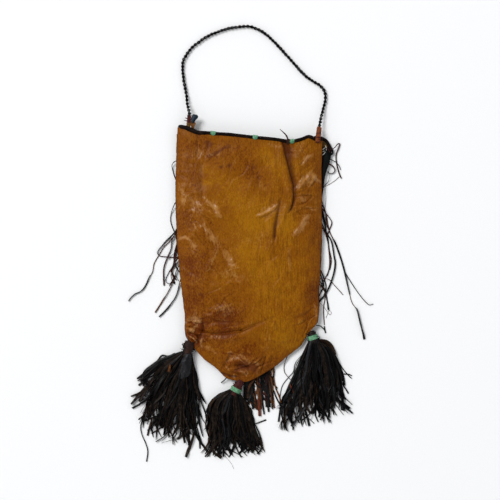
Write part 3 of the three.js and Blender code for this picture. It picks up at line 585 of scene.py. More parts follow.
# each mark: strength and radius, then its line, in millimetres
# the wax marks are the real wax film and a painted sheen on it; the thinnest are painted highlights along ridges
WAX = [
    (1.0, 4.2, [(104, 172), (113, 181), (122, 189)]), (0.45, 6.0, [(92, 186), (100, 200), (108, 212)]),
    (0.95, 6.0, [(97, 126), (104, 137), (112, 146), (121, 149)]),
    (0.9, 5.0, [(119, 148), (130, 142), (140, 134)]), (0.55, 9.0, [(104, 132), (120, 138)]),
    (0.5, 8.0, [(98, 96), (112, 104)]), (0.6, 3.0, [(116, 84), (126, 78), (132, 82)]),
    (0.8, 3.8, [(18, 70), (34, 77), (54, 90)]), (0.35, 7.0, [(24, 76), (48, 90)]),
    (0.9, 4.6, [(-89, 101), (-80, 93), (-70, 84), (-59, 67)]),
    (0.55, 7.0, [(-136, 128), (-131, 108), (-134, 92)]), (0.55, 10.0, [(-118, 102), (-106, 88), (-100, 78)]),
    (0.8, 7.0, [(-92, 46), (-82, 34), (-70, 18), (-64, 10)]), (0.85, 6.5, [(114, 66), (103, 48), (90, 30)]),
    (0.8, 5.0, [(-142, 22), (-130, 26), (-120, 20), (-108, 6)]), (0.75, 8.0, [(-50, -4), (-42, -16), (-34, -32)]),
    (0.65, 3.0, [(-61, 7), (-70, -14), (-80, -36)]), (0.45, 9.0, [(-50, -44), (-30, -50), (-10, -58)]),
    (0.55, 4.5, [(77, 2), (79, -16), (80, -36)]), (0.45, 10.0, [(-104, 206), (-96, 194), (-112, 186)]),
    (0.5, 4.0, [(-82, 190), (-70, 186), (-58, 192)]), (1.0, 5.5, [(-122, -138), (-112, -136), (-100, -140)]),
    (1.0, 3.4, [(-120, -162), (-106, -152), (-102, -140)]),
    (0.8, 1.6, [(-119.4, -178), (-117.4, -184), (-116.6, -190)]),
    (0.45, 8.0, [(-62, -116), (-48, -112), (-30, -122)]), (0.6, 4.4, [(-40, -207), (-31, -213), (-42, -221)]),
    (0.5, 3.4, [(-24, -205), (-14, -212), (-4, -221)]), (0.7, 3.4, [(8, -222), (14, -227), (18, -232)]),
    (0.6, 2.6, [(-48, -230), (-45, -235)]), (0.35, 4.0, [(-90, -171), (-70, -173), (-50, -173)]),
    (0.9, 2.0, [(-19, -240), (-12, -244), (-7, -250)]), (0.9, 1.3, [(-33, -245), (-31, -254)]),
    (0.6, 2.4, [(-46, -205), (-38, -202), (-30, -206)]), (0.4, 6.0, [(-104, -190), (-84, -196), (-66, -204)]),
    (0.45, 3.4, [(128, -104), (131, -120), (129, -136)]), (0.4, 5.0, [(60, 206), (40, 208)]),
    (0.35, 6.0, [(30, -148), (36, -176), (30, -200)]), (0.3, 9.0, [(-20, 20), (6, 14), (20, 22)]),
    (0.3, 8.0, [(20, 130), (34, 118)]), (1.0, 1.5, [(106, 175), (114, 184), (122, 190)]),
    (1.0, 1.4, [(98, 127), (106, 139), (113, 147), (121, 151)]), (1.0, 1.4, [(121, 150), (131, 144), (141, 135)]),
    (0.9, 1.3, [(20, 68), (36, 77), (52, 88)]), (0.8, 1.3, [(24, 62), (40, 72), (54, 82)]),
    (1.0, 1.4, [(-90, 103), (-80, 95), (-71, 84)]), (0.9, 1.4, [(-68, 82), (-61, 72), (-57, 63)]),
    (0.8, 1.4, [(-120, 62), (-110, 50), (-104, 38)]), (0.9, 1.3, [(-63, 8), (-70, -12), (-80, -38)]),
    (0.8, 1.3, [(-88, -42), (-78, -38), (-70, -40)]), (0.8, 1.3, [(-52, -44), (-36, -38), (-22, -34)]),
    (0.8, 1.4, [(-118, -138), (-108, -148), (-104, -158)]),
    (1.0, 1.4, [(-121.6, -170.5), (-113, -176), (-105.4, -184)]),
    (0.8, 1.3, [(-93, -168), (-96, -180), (-99, -190)]), (0.5, 1.3, [(-30, -212), (-18, -218), (-6, -228)]),
    (0.9, 1.2, [(-8, -252), (-4, -244), (-10, -238)]), (0.7, 1.3, [(-134, 118), (-128, 106), (-134, 94)]),
    (0.7, 1.3, [(118, 82), (126, 77), (132, 80)]), (0.7, 1.3, [(96, 212), (104, 200), (110, 186)]),
    (0.6, 1.3, [(-68, -128), (-56, -116), (-44, -122)]),
]
# real stains; the broad mark at the foot's tip is also painted shade in its hollow
STAINS = [
    (1.0, 6.5, [(-88, 214), (-80, 210), (-84, 204)]),
    (1.0, 4.2, [(-84, 186), (-72, 189), (-58, 197), (-42, 206)]), (0.95, 4.4, [(-59, 166), (-55, 165)]),
    (0.95, 4.4, [(-45, 166), (-41, 167)]), (0.55, 5.0, [(2, 168), (10, 164), (4, 158), (-1, 163)]),
    (0.75, 5.2, [(-98.4, -86), (-94, -88)]), (1.1, 11.0, [(-24, -238), (-12, -231), (8, -236)]),
    (0.4, 10.0, [(-80, -136), (-50, -128), (-22, -138)]), (0.25, 14.0, [(-70, -142), (-30, -146)]),
    (0.3, 9.0, [(-122, 204), (-124, 160), (-112, 140)]), (0.35, 9.0, [(-118, 60), (-120, 40)]),
    (0.45, 2.0, [(32, 108), (33, 108)]), (0.4, 2.0, [(-20, 64), (-19, 64)]), (0.35, 2.2, [(60, -70), (61, -70)]),
    (0.45, 3.0, [(-112, -122), (-104, -134)]), (0.35, 4.0, [(100, -118), (116, -126)]),
    (0.3, 6.0, [(-14, 30), (6, 34)]), (0.4, 1.4, [(-110, 202), (-108, 202)]),
    (0.5, 1.4, [(-137, 157), (-136, 157)]), (0.5, 1.6, [(81, 187), (82, 183)]),
    (0.35, 8.0, [(104, 110), (124, 104)]), (0.3, 12.0, [(-128, -60), (-122, -100)]),
    (0.3, 10.0, [(124, -60), (122, -110)]),
]
# painted shade: dark lines along the creases of the folds, where shadow falls
CREASES = [
    (0.8, 1.5, [(87, 96), (83, 84), (77, 76)]), (0.7, 1.3, [(86, 79), (95, 75), (104, 66)]),
    (0.7, 1.4, [(-96, -163), (-76, -166), (-58, -167.6), (-40, -168)]),
    (0.65, 1.4, [(-40, -168), (-18, -163), (4, -153), (26, -143)]),
    (0.5, 1.3, [(-100, -150), (-84, -146), (-74, -136)]), (0.5, 1.3, [(-74, -137), (-60, -119), (-52, -112)]),
    (1.0, 2.0, [(-119, -165.4), (-110, -167.6), (-104, -171), (-102, -182)]),
    (1.0, 1.8, [(-112, -188), (-102, -174), (-95, -160)]),
    (0.9, 1.8, [(-106, -186), (-98, -174), (-92, -156), (-96, -142)]),
    (0.5, 1.3, [(118, -150), (106, -140), (92, -134)]), (0.35, 1.3, [(22, -150), (19, -176), (20, -196)]),
    (0.85, 4.2, [(-24, -230), (-12, -229), (-2, -233)]), (0.9, 3.2, [(-56, -245), (-38, -251), (-20, -251)]),
    (0.55, 3.6, [(-38, -208), (-48, -224), (-58, -240)]), (0.8, 1.8, [(31, -212), (26, -230), (20, -245)]),
    (0.6, 1.3, [(-18, -256), (-24, -246), (-20, -238)]), (0.45, 1.2, [(2, -254), (7, -244), (14, -236)]),
    (0.35, 1.4, [(94, 216), (98, 200), (96, 178)]), (0.35, 1.4, [(112, 214), (104, 200), (99, 188)]),
    (0.6, 1.2, [(74, 212), (80, 202), (86, 197)]), (0.3, 1.4, [(-140, 70), (-132, 62), (-128, 48)]),
    (0.4, 1.3, [(120, 146), (130, 137), (141, 130)]), (0.5, 1.3, [(106, 42), (121, 44), (139, 54)]),
    (0.3, 1.3, [(-24, 14), (-6, 20), (12, 18), (30, 24), (48, 21)]),
    (0.35, 1.3, [(70, -190), (66, -206), (60, -222)]),
]
# each spot where the leather is crumpled: how much, over what radius, and which way its wrinkles run, in degrees
CRUMPLES = [
    (0.4, 30, (108, 180), 55), (0.8, 26, (124, 140), 40), (0.7, 30, (116, 98), 20), (0.6, 34, (-118, 96), 62),
    (0.8, 30, (-84, 74), -48), (0.8, 32, (-92, 24), -50), (0.3, 32, (-104, 190), 80), (1.2, 24, (-112, -156), 20),
    (1.2, 22, (-104, -182), -50), (1.1, 30, (-16, -232), 8), (0.9, 24, (16, -226), 60),
    (0.8, 28, (112, -140), 35), (0.7, 34, (-58, -138), 12), (0.6, 34, (-52, -30), -60), (0.5, 24, (36, 78), 28),
    (0.5, 40, (-60, -90), 40), (0.5, 40, (40, 10), 75), (0.4, 60, (50, -100), 85), (0.4, 50, (-20, 150), 70),
]
# each tone: how much brighter (or darker, below zero) the skin's colour is round a spot, and over what radius.
# Some are the dye's own patches; others are painted light on the lit flanks of folds and painted shade at the
# tucks and the gathered left corner.
SHADES = [
    (0.7, 12, (-87, 160)), (0.7, 12, (-86, 132)), (0.9, 34, (42, 176)), (0.8, 30, (72, 44)), (0.6, 60, (10, 40)),
    (0.45, 50, (40, -50)), (0.4, 40, (-40, 120)), (0.5, 30, (-10, -8)), (-0.8, 26, (-128, 60)),
    (-0.6, 30, (-126, -30)), (-0.7, 30, (124, -90)), (-0.4, 30, (118, 20)), (-0.5, 34, (-50, -142)),
    (-0.8, 40, (-6, -222)), (-0.5, 40, (-110, -110)), (-0.5, 30, (-96, 150)), (0.5, 24, (-72, 150)),
    (-0.7, 16, (80, 196)), (0.5, 20, (108, 150)), (-0.1, 40, (60, -110)), (0.5, 34, (60, -170)),
    (-0.7, 34, (-66, 186)), (-0.4, 30, (-112, 214)), (0.5, 40, (60, -120)), (-0.5, 30, (10, 160)),
    (-1.0, 22, (-106, -176)), (-0.6, 16, (-100, -146)),
]
# the soft unevenness of the whole skin: how high, how wide, and its seed
LUMPS = [(2.4, 52, 1.7), (1.2, 21, 5.2), (0.45, 9, 8.4), (0.16, 4.6, 2.9)]
FOLD_HEIGHT, CRUMPLE_HEIGHT = 0.8, 2.4
# a tuck that starts above this line runs out under the binding
TUCK_TOP = 210
# distances in from the seam: where the skin is free, how far its puckers reach, and its darkened rim
FREE_EDGE, PUCKER_REACH, RIM_WIDTH = 16, 9, 7
PUCKER_HEIGHT = 0.8
# how far and how widely the side edges wander, with seeds, and how far in from the seam that reaches
WANDERINGS, WANDER_REACH = [(1.5, 34, 12.3), (0.7, 12, 4.8)], 12
STREAKED_FROM, STREAKED_TO = -30, 60
CORNER, CORNER_RADIUS, CORNER_PULL = (-119, -189), 10, (4, 2.5)
DEEP_TAN, MID_TAN, PALE_TAN = srgb(96, 42, 3), srgb(133, 76, 4), srgb(156, 100, 6)
SINEW_BROWN, PORE_BROWN, RIM_BROWN = srgb(90, 44, 4), srgb(74, 34, 3), srgb(98, 46, 8)
STAIN_BROWN, WAX_CREAM = srgb(84, 38, 20), srgb(180, 128, 66)
TUCK_BROWN, CREASE_BROWN = srgb(62, 22, 1), srgb(66, 27, 2)
BACK = (mouth_edge, foot_edge, left_edge, right_edge)


def back_height(u, v):
    """The back panel's height before its folds: a pillow on the seam, which gapes at the mouth."""
    pillow = 1 - np.abs(2 * u - 1) ** 4
    crown = CROWN * pillow * (1 - v ** 6) * (0.75 + 0.25 * rise(v, 0.05, 0.45))
    body = seam_height(u, v) + SEAM_HALF + crown
    mouth = MOUTH_HEIGHT + MOUTH_GAPE * pillow
    return mix(mouth, body, rise(v, 0, 0.1))


def from_line(place, line):
    """How far each place lies from a line, and how far along the line it is, from 0 to 1."""
    line = np.array(line, float)
    lengths = np.linalg.norm(np.diff(line, axis=0), axis=1)
    starts = np.concatenate([[0], np.cumsum(lengths)])
    nearest = np.full(place.shape[:-1], 1e9)
    share = np.zeros(place.shape[:-1])
    for a, b, length, start in zip(line, line[1:], lengths, starts):
        t = np.clip(((place - a) @ (b - a)) / length ** 2, 0, 1)
        off = np.linalg.norm(place - a - t[..., None] * (b - a), axis=-1)
        share = np.where(off < nearest, (start + t * length) / starts[-1], share)
        nearest = np.minimum(nearest, off)
    return nearest, share


def marked(place, marks, swerve=1.0):
    """Marks as a layer from 0 to 1, pulled about and broken up by soft lumps."""
    layer = np.zeros(place.shape[:-1])
    pull = 3.4 * level(lumps(place, 12, 9.7), lumps(place, 12, 21.3))
    pull += 1.5 * level(lumps(place, 5, 3.3), lumps(place, 5, 14.9))
    broken = 1 + 0.5 * lumps(place, 9, 6.1)
    for strength, radius, line in marks:
        off, share = from_line(place + pull * min(1, radius / 4) * swerve, line)
        faded = strength * (0.7 + 0.3 * np.sin(math.pi * share))
        layer = np.maximum(layer, faded * broken * np.exp(-(off / radius) ** 2))
    return layer


def near(place, spot, radius):
    """1 at a spot, and fading to 0 round it."""
    return np.exp(-np.sum((place - spot) ** 2, axis=-1) / radius ** 2)


def wrinkles(place, angle, seed):
    """Crests and valleys from -1 to 1 that run one way, with gaps between them."""
    a = math.radians(angle)
    turned = place @ np.array([(math.cos(a), -math.sin(a)), (math.sin(a), math.cos(a))])
    swerved = turned + 5 * level(lumps(place, 26, seed + 3), lumps(place, 26, seed + 5))
    field = lumps(swerved / (2.6, 1), 19, seed)
    return np.exp(-((field - 0.06) / 0.09) ** 2) - 0.9 * np.exp(-((field + 0.1) / 0.09) ** 2)


def carry(piece, **layers):
    """Stores layers of values on a mesh, one for each vertex."""
    for name, values in layers.items():
        piece.data.attributes.new(name, "FLOAT", "POINT").data.foreach_set("value", values.ravel())


u, v = np.meshgrid(np.linspace(0, 1, 166), np.linspace(1, 0, 284))
plan = on_panel(BACK, u, v)
from_side = np.minimum(u, 1 - u) * PANEL_WIDTH
edge = np.minimum(from_side, (1 - v) * PANEL_LENGTH)
free = rise(edge, 0, FREE_EDGE) * rise(v, 0.0, 0.05)
height = back_height(u, v)
for start_depth, start_width, end_depth, end_width, line in FOLDS:
    off, share = from_line(plan, line)
    depth = mix(start_depth, end_depth, share)
    width = mix(start_width, end_width, share)
    crest = np.exp(-(off / width) ** 2) + np.exp(-off / width / 0.6)
    height += FOLD_HEIGHT * depth * crest * (0.35 + 0.65 * free)
crumpled = np.zeros(u.shape)
for strength, radius, spot, angle in CRUMPLES:
    crumpled += strength * near(plan, spot, radius) * wrinkles(plan, angle, spot[0] * 0.37)
height += CRUMPLE_HEIGHT * crumpled * (0.3 + 0.7 * free)
tucked = np.zeros(u.shape)
for start_depth, start_spread, end_depth, end_spread, soft, line in TUCKS:
    off, share = from_line(plan, line)
    line = np.array(line)[::-1]
    away = soft * (plan[..., 0] - np.interp(plan[..., 1], line[:, 1], line[:, 0]))
    away += 0.8 * lumps(plan, 14, 3.1)
    ends = rise(plan[..., 1], line[0, 1] - 8, line[0, 1] + 5)
    if line[-1, 1] < TUCK_TOP:
        ends *= 1 - rise(plan[..., 1], line[-1, 1] - 9, line[-1, 1] + 4)
    depth = mix(start_depth, end_depth, share)
    spread = mix(start_spread, end_spread, share)
    dip = np.where(away > 0, np.exp(-away / spread), np.exp(-(away / (2 - 0.5 * soft)) ** 2)) * ends
    height -= depth * dip * (0.3 + 0.7 * rise(v, 0.0, 0.06))
    # painted shadow: dark at the tuck's edge and fading away across its soft side
    soft_shade = 0.6 * (1 - rise(away, 0.5 * spread, 1.5 * spread)) + 0.4 * np.exp(-3 * away / spread)
    shade = np.where(away > 0, soft_shade, dip)
    tucked = np.maximum(tucked, shade * ends * np.minimum(1, depth / 2.4))
height += free * sum(rough * lumps(plan, size, seed) for rough, size, seed in LUMPS)
pucker = np.exp(-edge / PUCKER_REACH) * rise(edge, 0, 5) * rise(v, 0.04, 0.12)
ridges = np.sin(plan[..., 1] * 0.42 + 3.4 * lumps(plan, 30, 6.6))
ridges += np.sin(plan[..., 0] * 0.4 + 2 * lumps(plan, 26, 7.1))
height += pucker * ridges * PUCKER_HEIGHT
# the side edges wander a little, and the left tassel's neck draws the foot's corner in
wander = sum(reach * lumps(plan, size, seed) for reach, size, seed in WANDERINGS)
wander = wander * rise(v, 0.02, 0.1) * rise(1 - v, 0, 0.08)
plan[..., 0] += np.where(u < 0.5, -1, 1) * np.exp(-from_side / WANDER_REACH) * wander
plan += near(plan, CORNER, CORNER_RADIUS)[..., None] * CORNER_PULL
back_rows = np.dstack([plan, height])
back_panel = laid_grid("back_panel_goatskin", back_rows)
# the tone round spots: the dye's own patches, with painted light and shade on some folds
tone = sum(value * near(plan, spot, radius) for value, radius, spot in SHADES)
carry(
    back_panel, tone=tone, crumpled=crumpled, wax=marked(plan, WAX), stain=marked(plan, STAINS),
    crease=marked(plan, CREASES, 0.4), tuck=tucked, rim=np.exp(-edge / RIM_WIDTH),
    streaked=rise(plan[..., 0], STREAKED_FROM, STREAKED_TO),
)
thicken(back_panel, BACK_LEATHER)

# the skin's colour is built up in layers: dye with painted light and shade round spots and on the wrinkles,
# then sinews, pores, the darker rim, stains with painted shade at the tip, wax with a painted sheen,
# and painted shadow in the tucks and creases
goatskin, shader, place = new_hide("tan_goatskin", Coat_Roughness=0.3, Specular_IOR_Level=0.05)
broad = place.mottle(14, 3)
patchy = place.mottle(46, 5)
fibres = place.stretched(1, 0.5, 1)
fine = fibres.mottle(160, 4)
speck = fibres.mottle(460, 2)
grain = place.cells(760, "SMOOTH_F1")
streaks = place.stretched(1, 0.06, 1).mottle(520, 2)
crumpled = place.layer("crumpled")
# the dye is painted a little lighter on the wrinkles' crests and darker in their valleys: painted light and shade
dye = place.layer("tone") * 0.4 + broad * 0.8 + patchy * 0.42 + fine * 0.34 + speck * 0.9 - 0.76 + crumpled * 0.12
colour = dye.step(0.08, 0.5).tint(DEEP_TAN, MID_TAN)
colour = dye.step(0.46, 0.92).tint(colour, PALE_TAN)
sinew = (1 - streaks.step(0.34, 0.54)) * (place.layer("streaked") * 0.38 + 0.08)
colour = sinew.tint(colour, SINEW_BROWN)
pores = (1 - place.cells(190).step(0.1, 0.2)) * patchy.step(0.4, 0.62)
spots = (1 - place.cells(74).step(0.05, 0.1)) * fine.step(0.42, 0.56)
colour = (pores * 0.5 + spots * 0.6).tint(colour, PORE_BROWN)
colour = (place.layer("rim") * 0.45).tint(colour, RIM_BROWN)
# stains, with painted shade in the hollow at the foot's tip
stain = (place.layer("stain") + (patchy - 0.5) * 0.8 + (fine - 0.5) * 0.9).step(0.1, 0.85)
colour = (stain * 0.66).tint(colour, STAIN_BROWN)
# the wax makes the skin smoother and glossier, and carries a painted sheen of pale cream, brightest on wrinkle
# crests
rubbed = (patchy - 0.5) * 0.6 + (fine - 0.5) * 0.9 + (speck - 0.5) * 0.8 + crumpled * 0.3
waxed = (place.layer("wax") * 0.95 + rubbed).step(0.1, 0.95)
colour = (waxed * 0.55).tint(colour, WAX_CREAM)
# painted shadow in the tucks
shaded = place.layer("tuck") * (fine * 0.4 + 0.85)
colour = shaded.tint(colour, TUCK_BROWN)
# painted shade along the creases
crease = place.layer("crease") * (fine * 0.6 + 0.7)
colour = crease.step(0.1, 1.0).tint(colour, CREASE_BROWN)
rough = 0.55 - waxed * 0.16 + (patchy - 0.5) * 0.3
relief = grain * 0.2 + speck * 0.5 + fine * 0.8 + patchy * 1.2 + streaks * 0.3
finish_hide(shader, colour, rough, relief, 0.8)
goatskin.node_tree.links.new((waxed * 0.6 + 0.06).socket, shader.inputs["Coat Weight"])
back_panel.data.materials.append(goatskin)
settle(back_panel, "bag", "back_panel")

# Mouth binding: one black strip folded over the raw edge of the mouth and sewn through, all the way
# round both panels. It is thickest at the left corner, and its fold is soft and a little uneven.
BEAD_OFF, BEAD = 2.8, 2.9
# the section of the strip past its round fold: distances into the bag, and across its edge
BINDING_LIPS = [(1.6, -2.7), (3.0, -2.1), (3.9, -1.5), (3.5, 0.0), (3.9, 1.5), (3.0, 2.1), (1.6, 2.7)]
BINDING_LOWEST = 0.25
CORNER_OUT = 3.2
# how much the strip swells, over what widths, and their seeds; then where it is thickest, how far and by how much
SWELLINGS = [(0.10, 16, 2.2), (0.07, 6, 3.7)]
THICKEST, THICK_RADIUS, THICK_SHARE = -116, 20, 0.3
WRINKLE_SIZE, WRINKLE_DEPTH = 3.2, 0.22
FRAME_STEP = 0.01


def panel_point(panel, u, v):
    """Points on a panel, which is given as its edges and its height."""
    edges, height = panel
    u, v = np.broadcast_arrays(np.asarray(u, float), np.asarray(v, float))
    return np.concatenate([on_panel(edges, u, v), height(u, v)[..., None]], axis=-1)


def unit(vectors):
    """The same directions, one long each."""
    return vectors / np.linalg.norm(vectors, axis=-1, keepdims=True)


def mouth_frame(panel, u):
    """Along a mouth's edge, out of the bag, up from the panel, and the middle of the binding there."""
    u = np.asarray(u, float)
    before, after = np.maximum(u - FRAME_STEP, 0), np.minimum(u + FRAME_STEP, 1)
    along = unit(panel_point(panel, after, 0) - panel_point(panel, before, 0))
    at = panel_point(panel, u, 0)
    up = unit(np.cross(panel_point(panel, u, FRAME_STEP) - at, along))
    out = np.cross(up, along)
    return along, out, up, at + out * BEAD_OFF


def ripples(points, size):
    """Fine bumps from -1 to 1, about as wide as size, over an array of points in space."""
    return np.array([noise.noise(Vector(p / size)) for p in points.reshape(-1, 3)]).reshape(points.shape[:-1])


def laid_tube(name, rings, *hides):
    """A closed tube through rings of points, in millimetres, with both ends drawn to a point."""
    ends = [np.repeat(ring.mean(axis=0)[None], len(ring), axis=0)[None] for ring in (rings[0], rings[-1])]
    rings = np.concatenate([ends[0], rings, ends[1]])
    piece = laid_grid(name, np.concatenate([rings, rings[:, :1]], axis=1), *hides)
    close_up(piece)
    return piece


BACK_PANEL = (BACK, back_height)
FRONT_PANEL = (FRONT, front_height)
stops = np.linspace(0.022, 1, 80)
back_run, front_run = mouth_frame(BACK_PANEL, stops[::-1]), mouth_frame(FRONT_PANEL, stops)
fold_runs = [np.hstack([run[3], -run[1]]) for run in (back_run, front_run)]
left_corner = (fold_runs[0][-1] + fold_runs[1][0]) / 2
left_corner[0] -= CORNER_OUT
left_corner[3:] = (1, 0, 0)
route = course(np.vstack([fold_runs[0], left_corner, fold_runs[1]]), 2.0)
middle = route[:, :3]
along = unit(np.gradient(middle, axis=0))
inward = unit(route[:, 3:] - along * np.sum(route[:, 3:] * along, axis=1, keepdims=True))
across_it = np.cross(along, inward)
fold = np.radians(np.linspace(90, 270, 9))
section = [*zip(BEAD * np.cos(fold), BEAD * np.sin(fold)), *BINDING_LIPS]
swell = sum((share * lumps(middle[:, :2], size, seed) for share, size, seed in SWELLINGS), 1)
swell *= 1 + THICK_SHARE * np.exp(-((middle[:, 0] - THICKEST) / THICK_RADIUS) ** 2)
rows = np.stack([
    middle + inward * (a * swell)[:, None] + across_it * (b * swell)[:, None] for a, b in section
], axis=1)
wrinkle = ripples(rows, WRINKLE_SIZE)[..., None]
rows += (inward[:, None] * WRINKLE_DEPTH + across_it[:, None] * WRINKLE_DEPTH) * wrinkle
rows[..., 2] = np.maximum(rows[..., 2], BINDING_LOWEST)
binding_black = dyed_leather(
    "binding_black", (8, 3, 1), (19, 9, 5), (50, 33, 27), patch=110, grain=1000, wear=0.58, shine=0.06,
)
binding = laid_tube("mouth_binding_strip", rows, binding_black)
settle(binding, "bag", "mouth_binding")

# Green tabs: three short strips of dyed goatskin, each folded over the binding and caught in its seam.
# Their round ends show just below the binding.
TAB_WIDTH, TAB_LEATHER = 10, 1.0
TAB_PLACES = {"left": 0.245, "middle": 0.535, "right": 0.79}
# the tab's way over the binding, before and after its round fold: out of the mouth, and up from the panel
TAB_UNDER = [(-5.4, -1.8), (-4.2, -2.3), (-2.6, -3.0)]
TAB_OVER = [(-1.6, 3.45), (-2.8, 2.9), (-3.8, 2.4), (-4.6, 1.9)]
TAB_SLACK = 0.75
tab_green = dyed_leather(
    "tab_green", (66, 116, 84), (98, 152, 114), (150, 190, 160), patch=240, rough=0.55, wear=0.58,
)


def set_in(frames, outward, upward, sideways):
    """Points from distances out of the mouth, up from the panel and along the edge, at one place on it."""
    along, out, up, middle = frames
    outward, upward, sideways = np.broadcast_arrays(outward, upward, sideways)
    return middle + outward[..., None] * out + upward[..., None] * up + sideways[..., None] * along


turn = np.radians(np.linspace(-90, 90, 17))
fold = (BEAD + TAB_SLACK) * np.column_stack([np.cos(turn), np.sin(turn)])
outward, upward = np.vstack([TAB_UNDER, fold, TAB_OVER]).T
sideways = np.linspace(-0.5, 0.5, 15)
tip = rise(np.arange(len(outward)), len(outward) - 7, len(outward) - 1)[:, None]
round_end = outward[:, None] + tip * 2.2 * np.abs(2 * sideways) ** 2.6
breadth = TAB_WIDTH * (1 - 0.14 * tip) * sideways
for side, place in TAB_PLACES.items():
    rows = set_in(mouth_frame(BACK_PANEL, place), round_end, upward[:, None], breadth)
    tab = laid_grid(f"green_tab_{side}", rows, tab_green)
    thicken(tab, TAB_LEATHER)
    settle(tab, "bag", f"binding_tab_{side}", angle=50)

# Strap sleeves: a russet thong wound tightly round each end of the strap. The right one ends in a flat
# tongue sewn to the back panel; the left one goes down behind the binding, with a few cut ends.
THONG_PITCH, THONG_PROUD, THONG_SUNK = 4.8, 1.0, 0.55
WOUND_STEP = 0.55
# a sleeve's half width and half thickness, by how far along it they are
SLEEVE_WIDTH = ([0, 0.2, 0.55, 0.9, 1], [4.6, 5.0, 4.9, 4.7, 4.5])
SLEEVE_THICKNESS = ([0, 0.2, 0.5, 1], [0.7, 1.2, 3.2, 3.2])
FRAY_WIDTHS, FRAY_TURN = [0.9, 0.9, 0.7, 0.4], 0.4
sleeve_russet = dyed_leather(
    "sleeve_russet", (84, 36, 16), (120, 62, 32), (156, 100, 60), patch=170, wear=0.58, shine=0.08,
)
sleeve_dark = dyed_leather("sleeve_dark", (54, 18, 13), (82, 31, 23), (112, 58, 44), patch=170, shine=0.08)
sleeve_tan = dyed_leather("sleeve_tan", (84, 56, 24), (122, 90, 48), (158, 126, 82), patch=170, shine=0.08)
fray_black = dyed_leather("fray_black", (12, 10, 9), (26, 21, 18), (52, 43, 36), patch=170, rough=0.55)
# each sleeve: its place on the mouth, how slim it is, where the strap enters, its tongue's way out of the mouth
# and up from the panel, its leathers, how the second of them is striped and how far up, and its cut ends
Sleeve = namedtuple("Sleeve", "place slim strap_end out up hides stripes striped frays")
SLEEVES = {
    "left": Sleeve(
        0.065, 0.78, strap_path[4], [-5, -1, 3.2], [-4.4, -4.0, -3.0], [sleeve_dark, sleeve_tan], 0, 0.5,
        [(0.78, -1, 6, 1), (0.62, -1, 7.5, 1), (0.97, -1, 2.4, 0), (0.95, 1, 2.4, 0)],
    ),
    "right": Sleeve(
        0.965, 1.0, strap_path[-3], [-6.6, -3, 1.5], [2.3, 4.6, 5.4], [sleeve_russet, sleeve_dark], 7, 0.75,
        [(0.97, -1, 2.4, 0), (0.95, 1, 2.4, 0)],
    ),
}


def strip_section(name, half_thickness, corners=((-1, -1), (-1, 1), (1, 1), (1, -1))):
    """The section of a cut strip: one millimetre to each side, so that a strip's widths are its half widths."""
    section = bpy.data.curves.new(name, "CURVE")
    spline = section.splines.new("POLY")
    spline.points.add(len(corners) - 1)
    for point, (x, y) in zip(spline.points, corners):
        point.co = (x * MM, y * half_thickness * MM, 0, 1)
    spline.use_cyclic_u = True
    piece = bpy.data.objects.new(name, section)
    bpy.context.scene.collection.objects.link(piece)
    return piece


flat_strip = strip_section("flat_strip", 0.3)


def strips_drawn(name, hides, section=flat_strip):
    """A new empty curve for strips that are cut to one section."""
    line = drawn(name, hides)
    line.bevel_mode = "OBJECT"
    line.bevel_object = section
    return line


def join_to(piece, other):
    """Joins a second mesh into a piece."""
    take(piece)
    other.select_set(True)
    bpy.ops.object.join()


def wound(run, pitch, angle, proud, sunk):
    """How far a wound thong stands out, at distances along what it is wound on and angles round it."""
    turn = (run / pitch)[:, None] - angle / math.tau
    return proud * np.sqrt(np.clip(1 - (2 * (turn % 1) - 1) ** 2, 0, 1)) - sunk


for side, shape in SLEEVES.items():
    frames = mouth_frame(BACK_PANEL, shape.place)
    tongue = set_in(frames, shape.out, shape.up, 0.0)
    bend = (tongue[2] + shape.strap_end) / 2 + (0, 0, 0.8)
    axis = course(np.vstack([tongue, bend, shape.strap_end]), WOUND_STEP)
    tangent = unit(np.gradient(axis, axis=0))
    wide = unit(frames[0] - tangent * (tangent @ frames[0])[:, None])
    proud = np.cross(wide, tangent)
    share = np.linspace(0, 1, len(axis))
    half_width = np.interp(share, *SLEEVE_WIDTH) * shape.slim
    half_thick = np.interp(share, *SLEEVE_THICKNESS) * shape.slim
    angle = np.linspace(0, math.tau, 28, endpoint=False)
    bulge = wound(np.arange(len(axis)) * WOUND_STEP, THONG_PITCH, angle, THONG_PROUD, THONG_SUNK)
    width = (half_width[:, None] + bulge) * np.cos(angle)
    thick = (half_thick[:, None] + bulge) * np.sin(angle)
    rings = axis[:, None] + wide[:, None] * width[..., None] + proud[:, None] * thick[..., None]
    sleeve = laid_tube(f"strap_sleeve_wound_{side}", rings, *shape.hides)
    whole = axis[-1] - axis[0]
    for face in sleeve.data.polygons:
        height = (np.array(face.center) / MM - axis[0]) @ whole / (whole @ whole)
        face.material_index = int((height * shape.stripes + 0.25) % 2 < 0.5 and height < shape.striped)
    frays = strips_drawn(f"sleeve_frays_{side}", [shape.hides[0], fray_black])
    for height, lean, reach, hide in shape.frays:
        at = int(height * (len(axis) - 1))
        root = axis[at] + wide[at] * lean * 2.2
        tip = root + wide[at] * lean * reach + tangent[at] * (2.2 - 0.7 * hide) + (0, 0, 0.8)
        run_through(frays, np.linspace(root, tip, len(FRAY_WIDTHS)), FRAY_WIDTHS, FRAY_TURN, hide)
    join_to(sleeve, made_mesh(frays))
    settle(sleeve, "bag", f"strap_sleeve_{side}", angle=60)

# Pull tab: a tan tongue that comes out from under the binding beside the left sleeve, with a stiff
# teal end sewn to it. The end is folded to a flared leaf.
TONGUE_LEATHER, END_LEATHER = 1.1, 1.8
tongue_tan = dyed_leather(
    "tongue_tan", (80, 46, 18), (118, 78, 38), (148, 112, 68), patch=190, grain=800, rough=0.55, shine=0.08,
)
end_teal = dyed_leather("end_teal", (12, 22, 32), (26, 42, 56), (58, 74, 84), patch=170, rough=0.42)


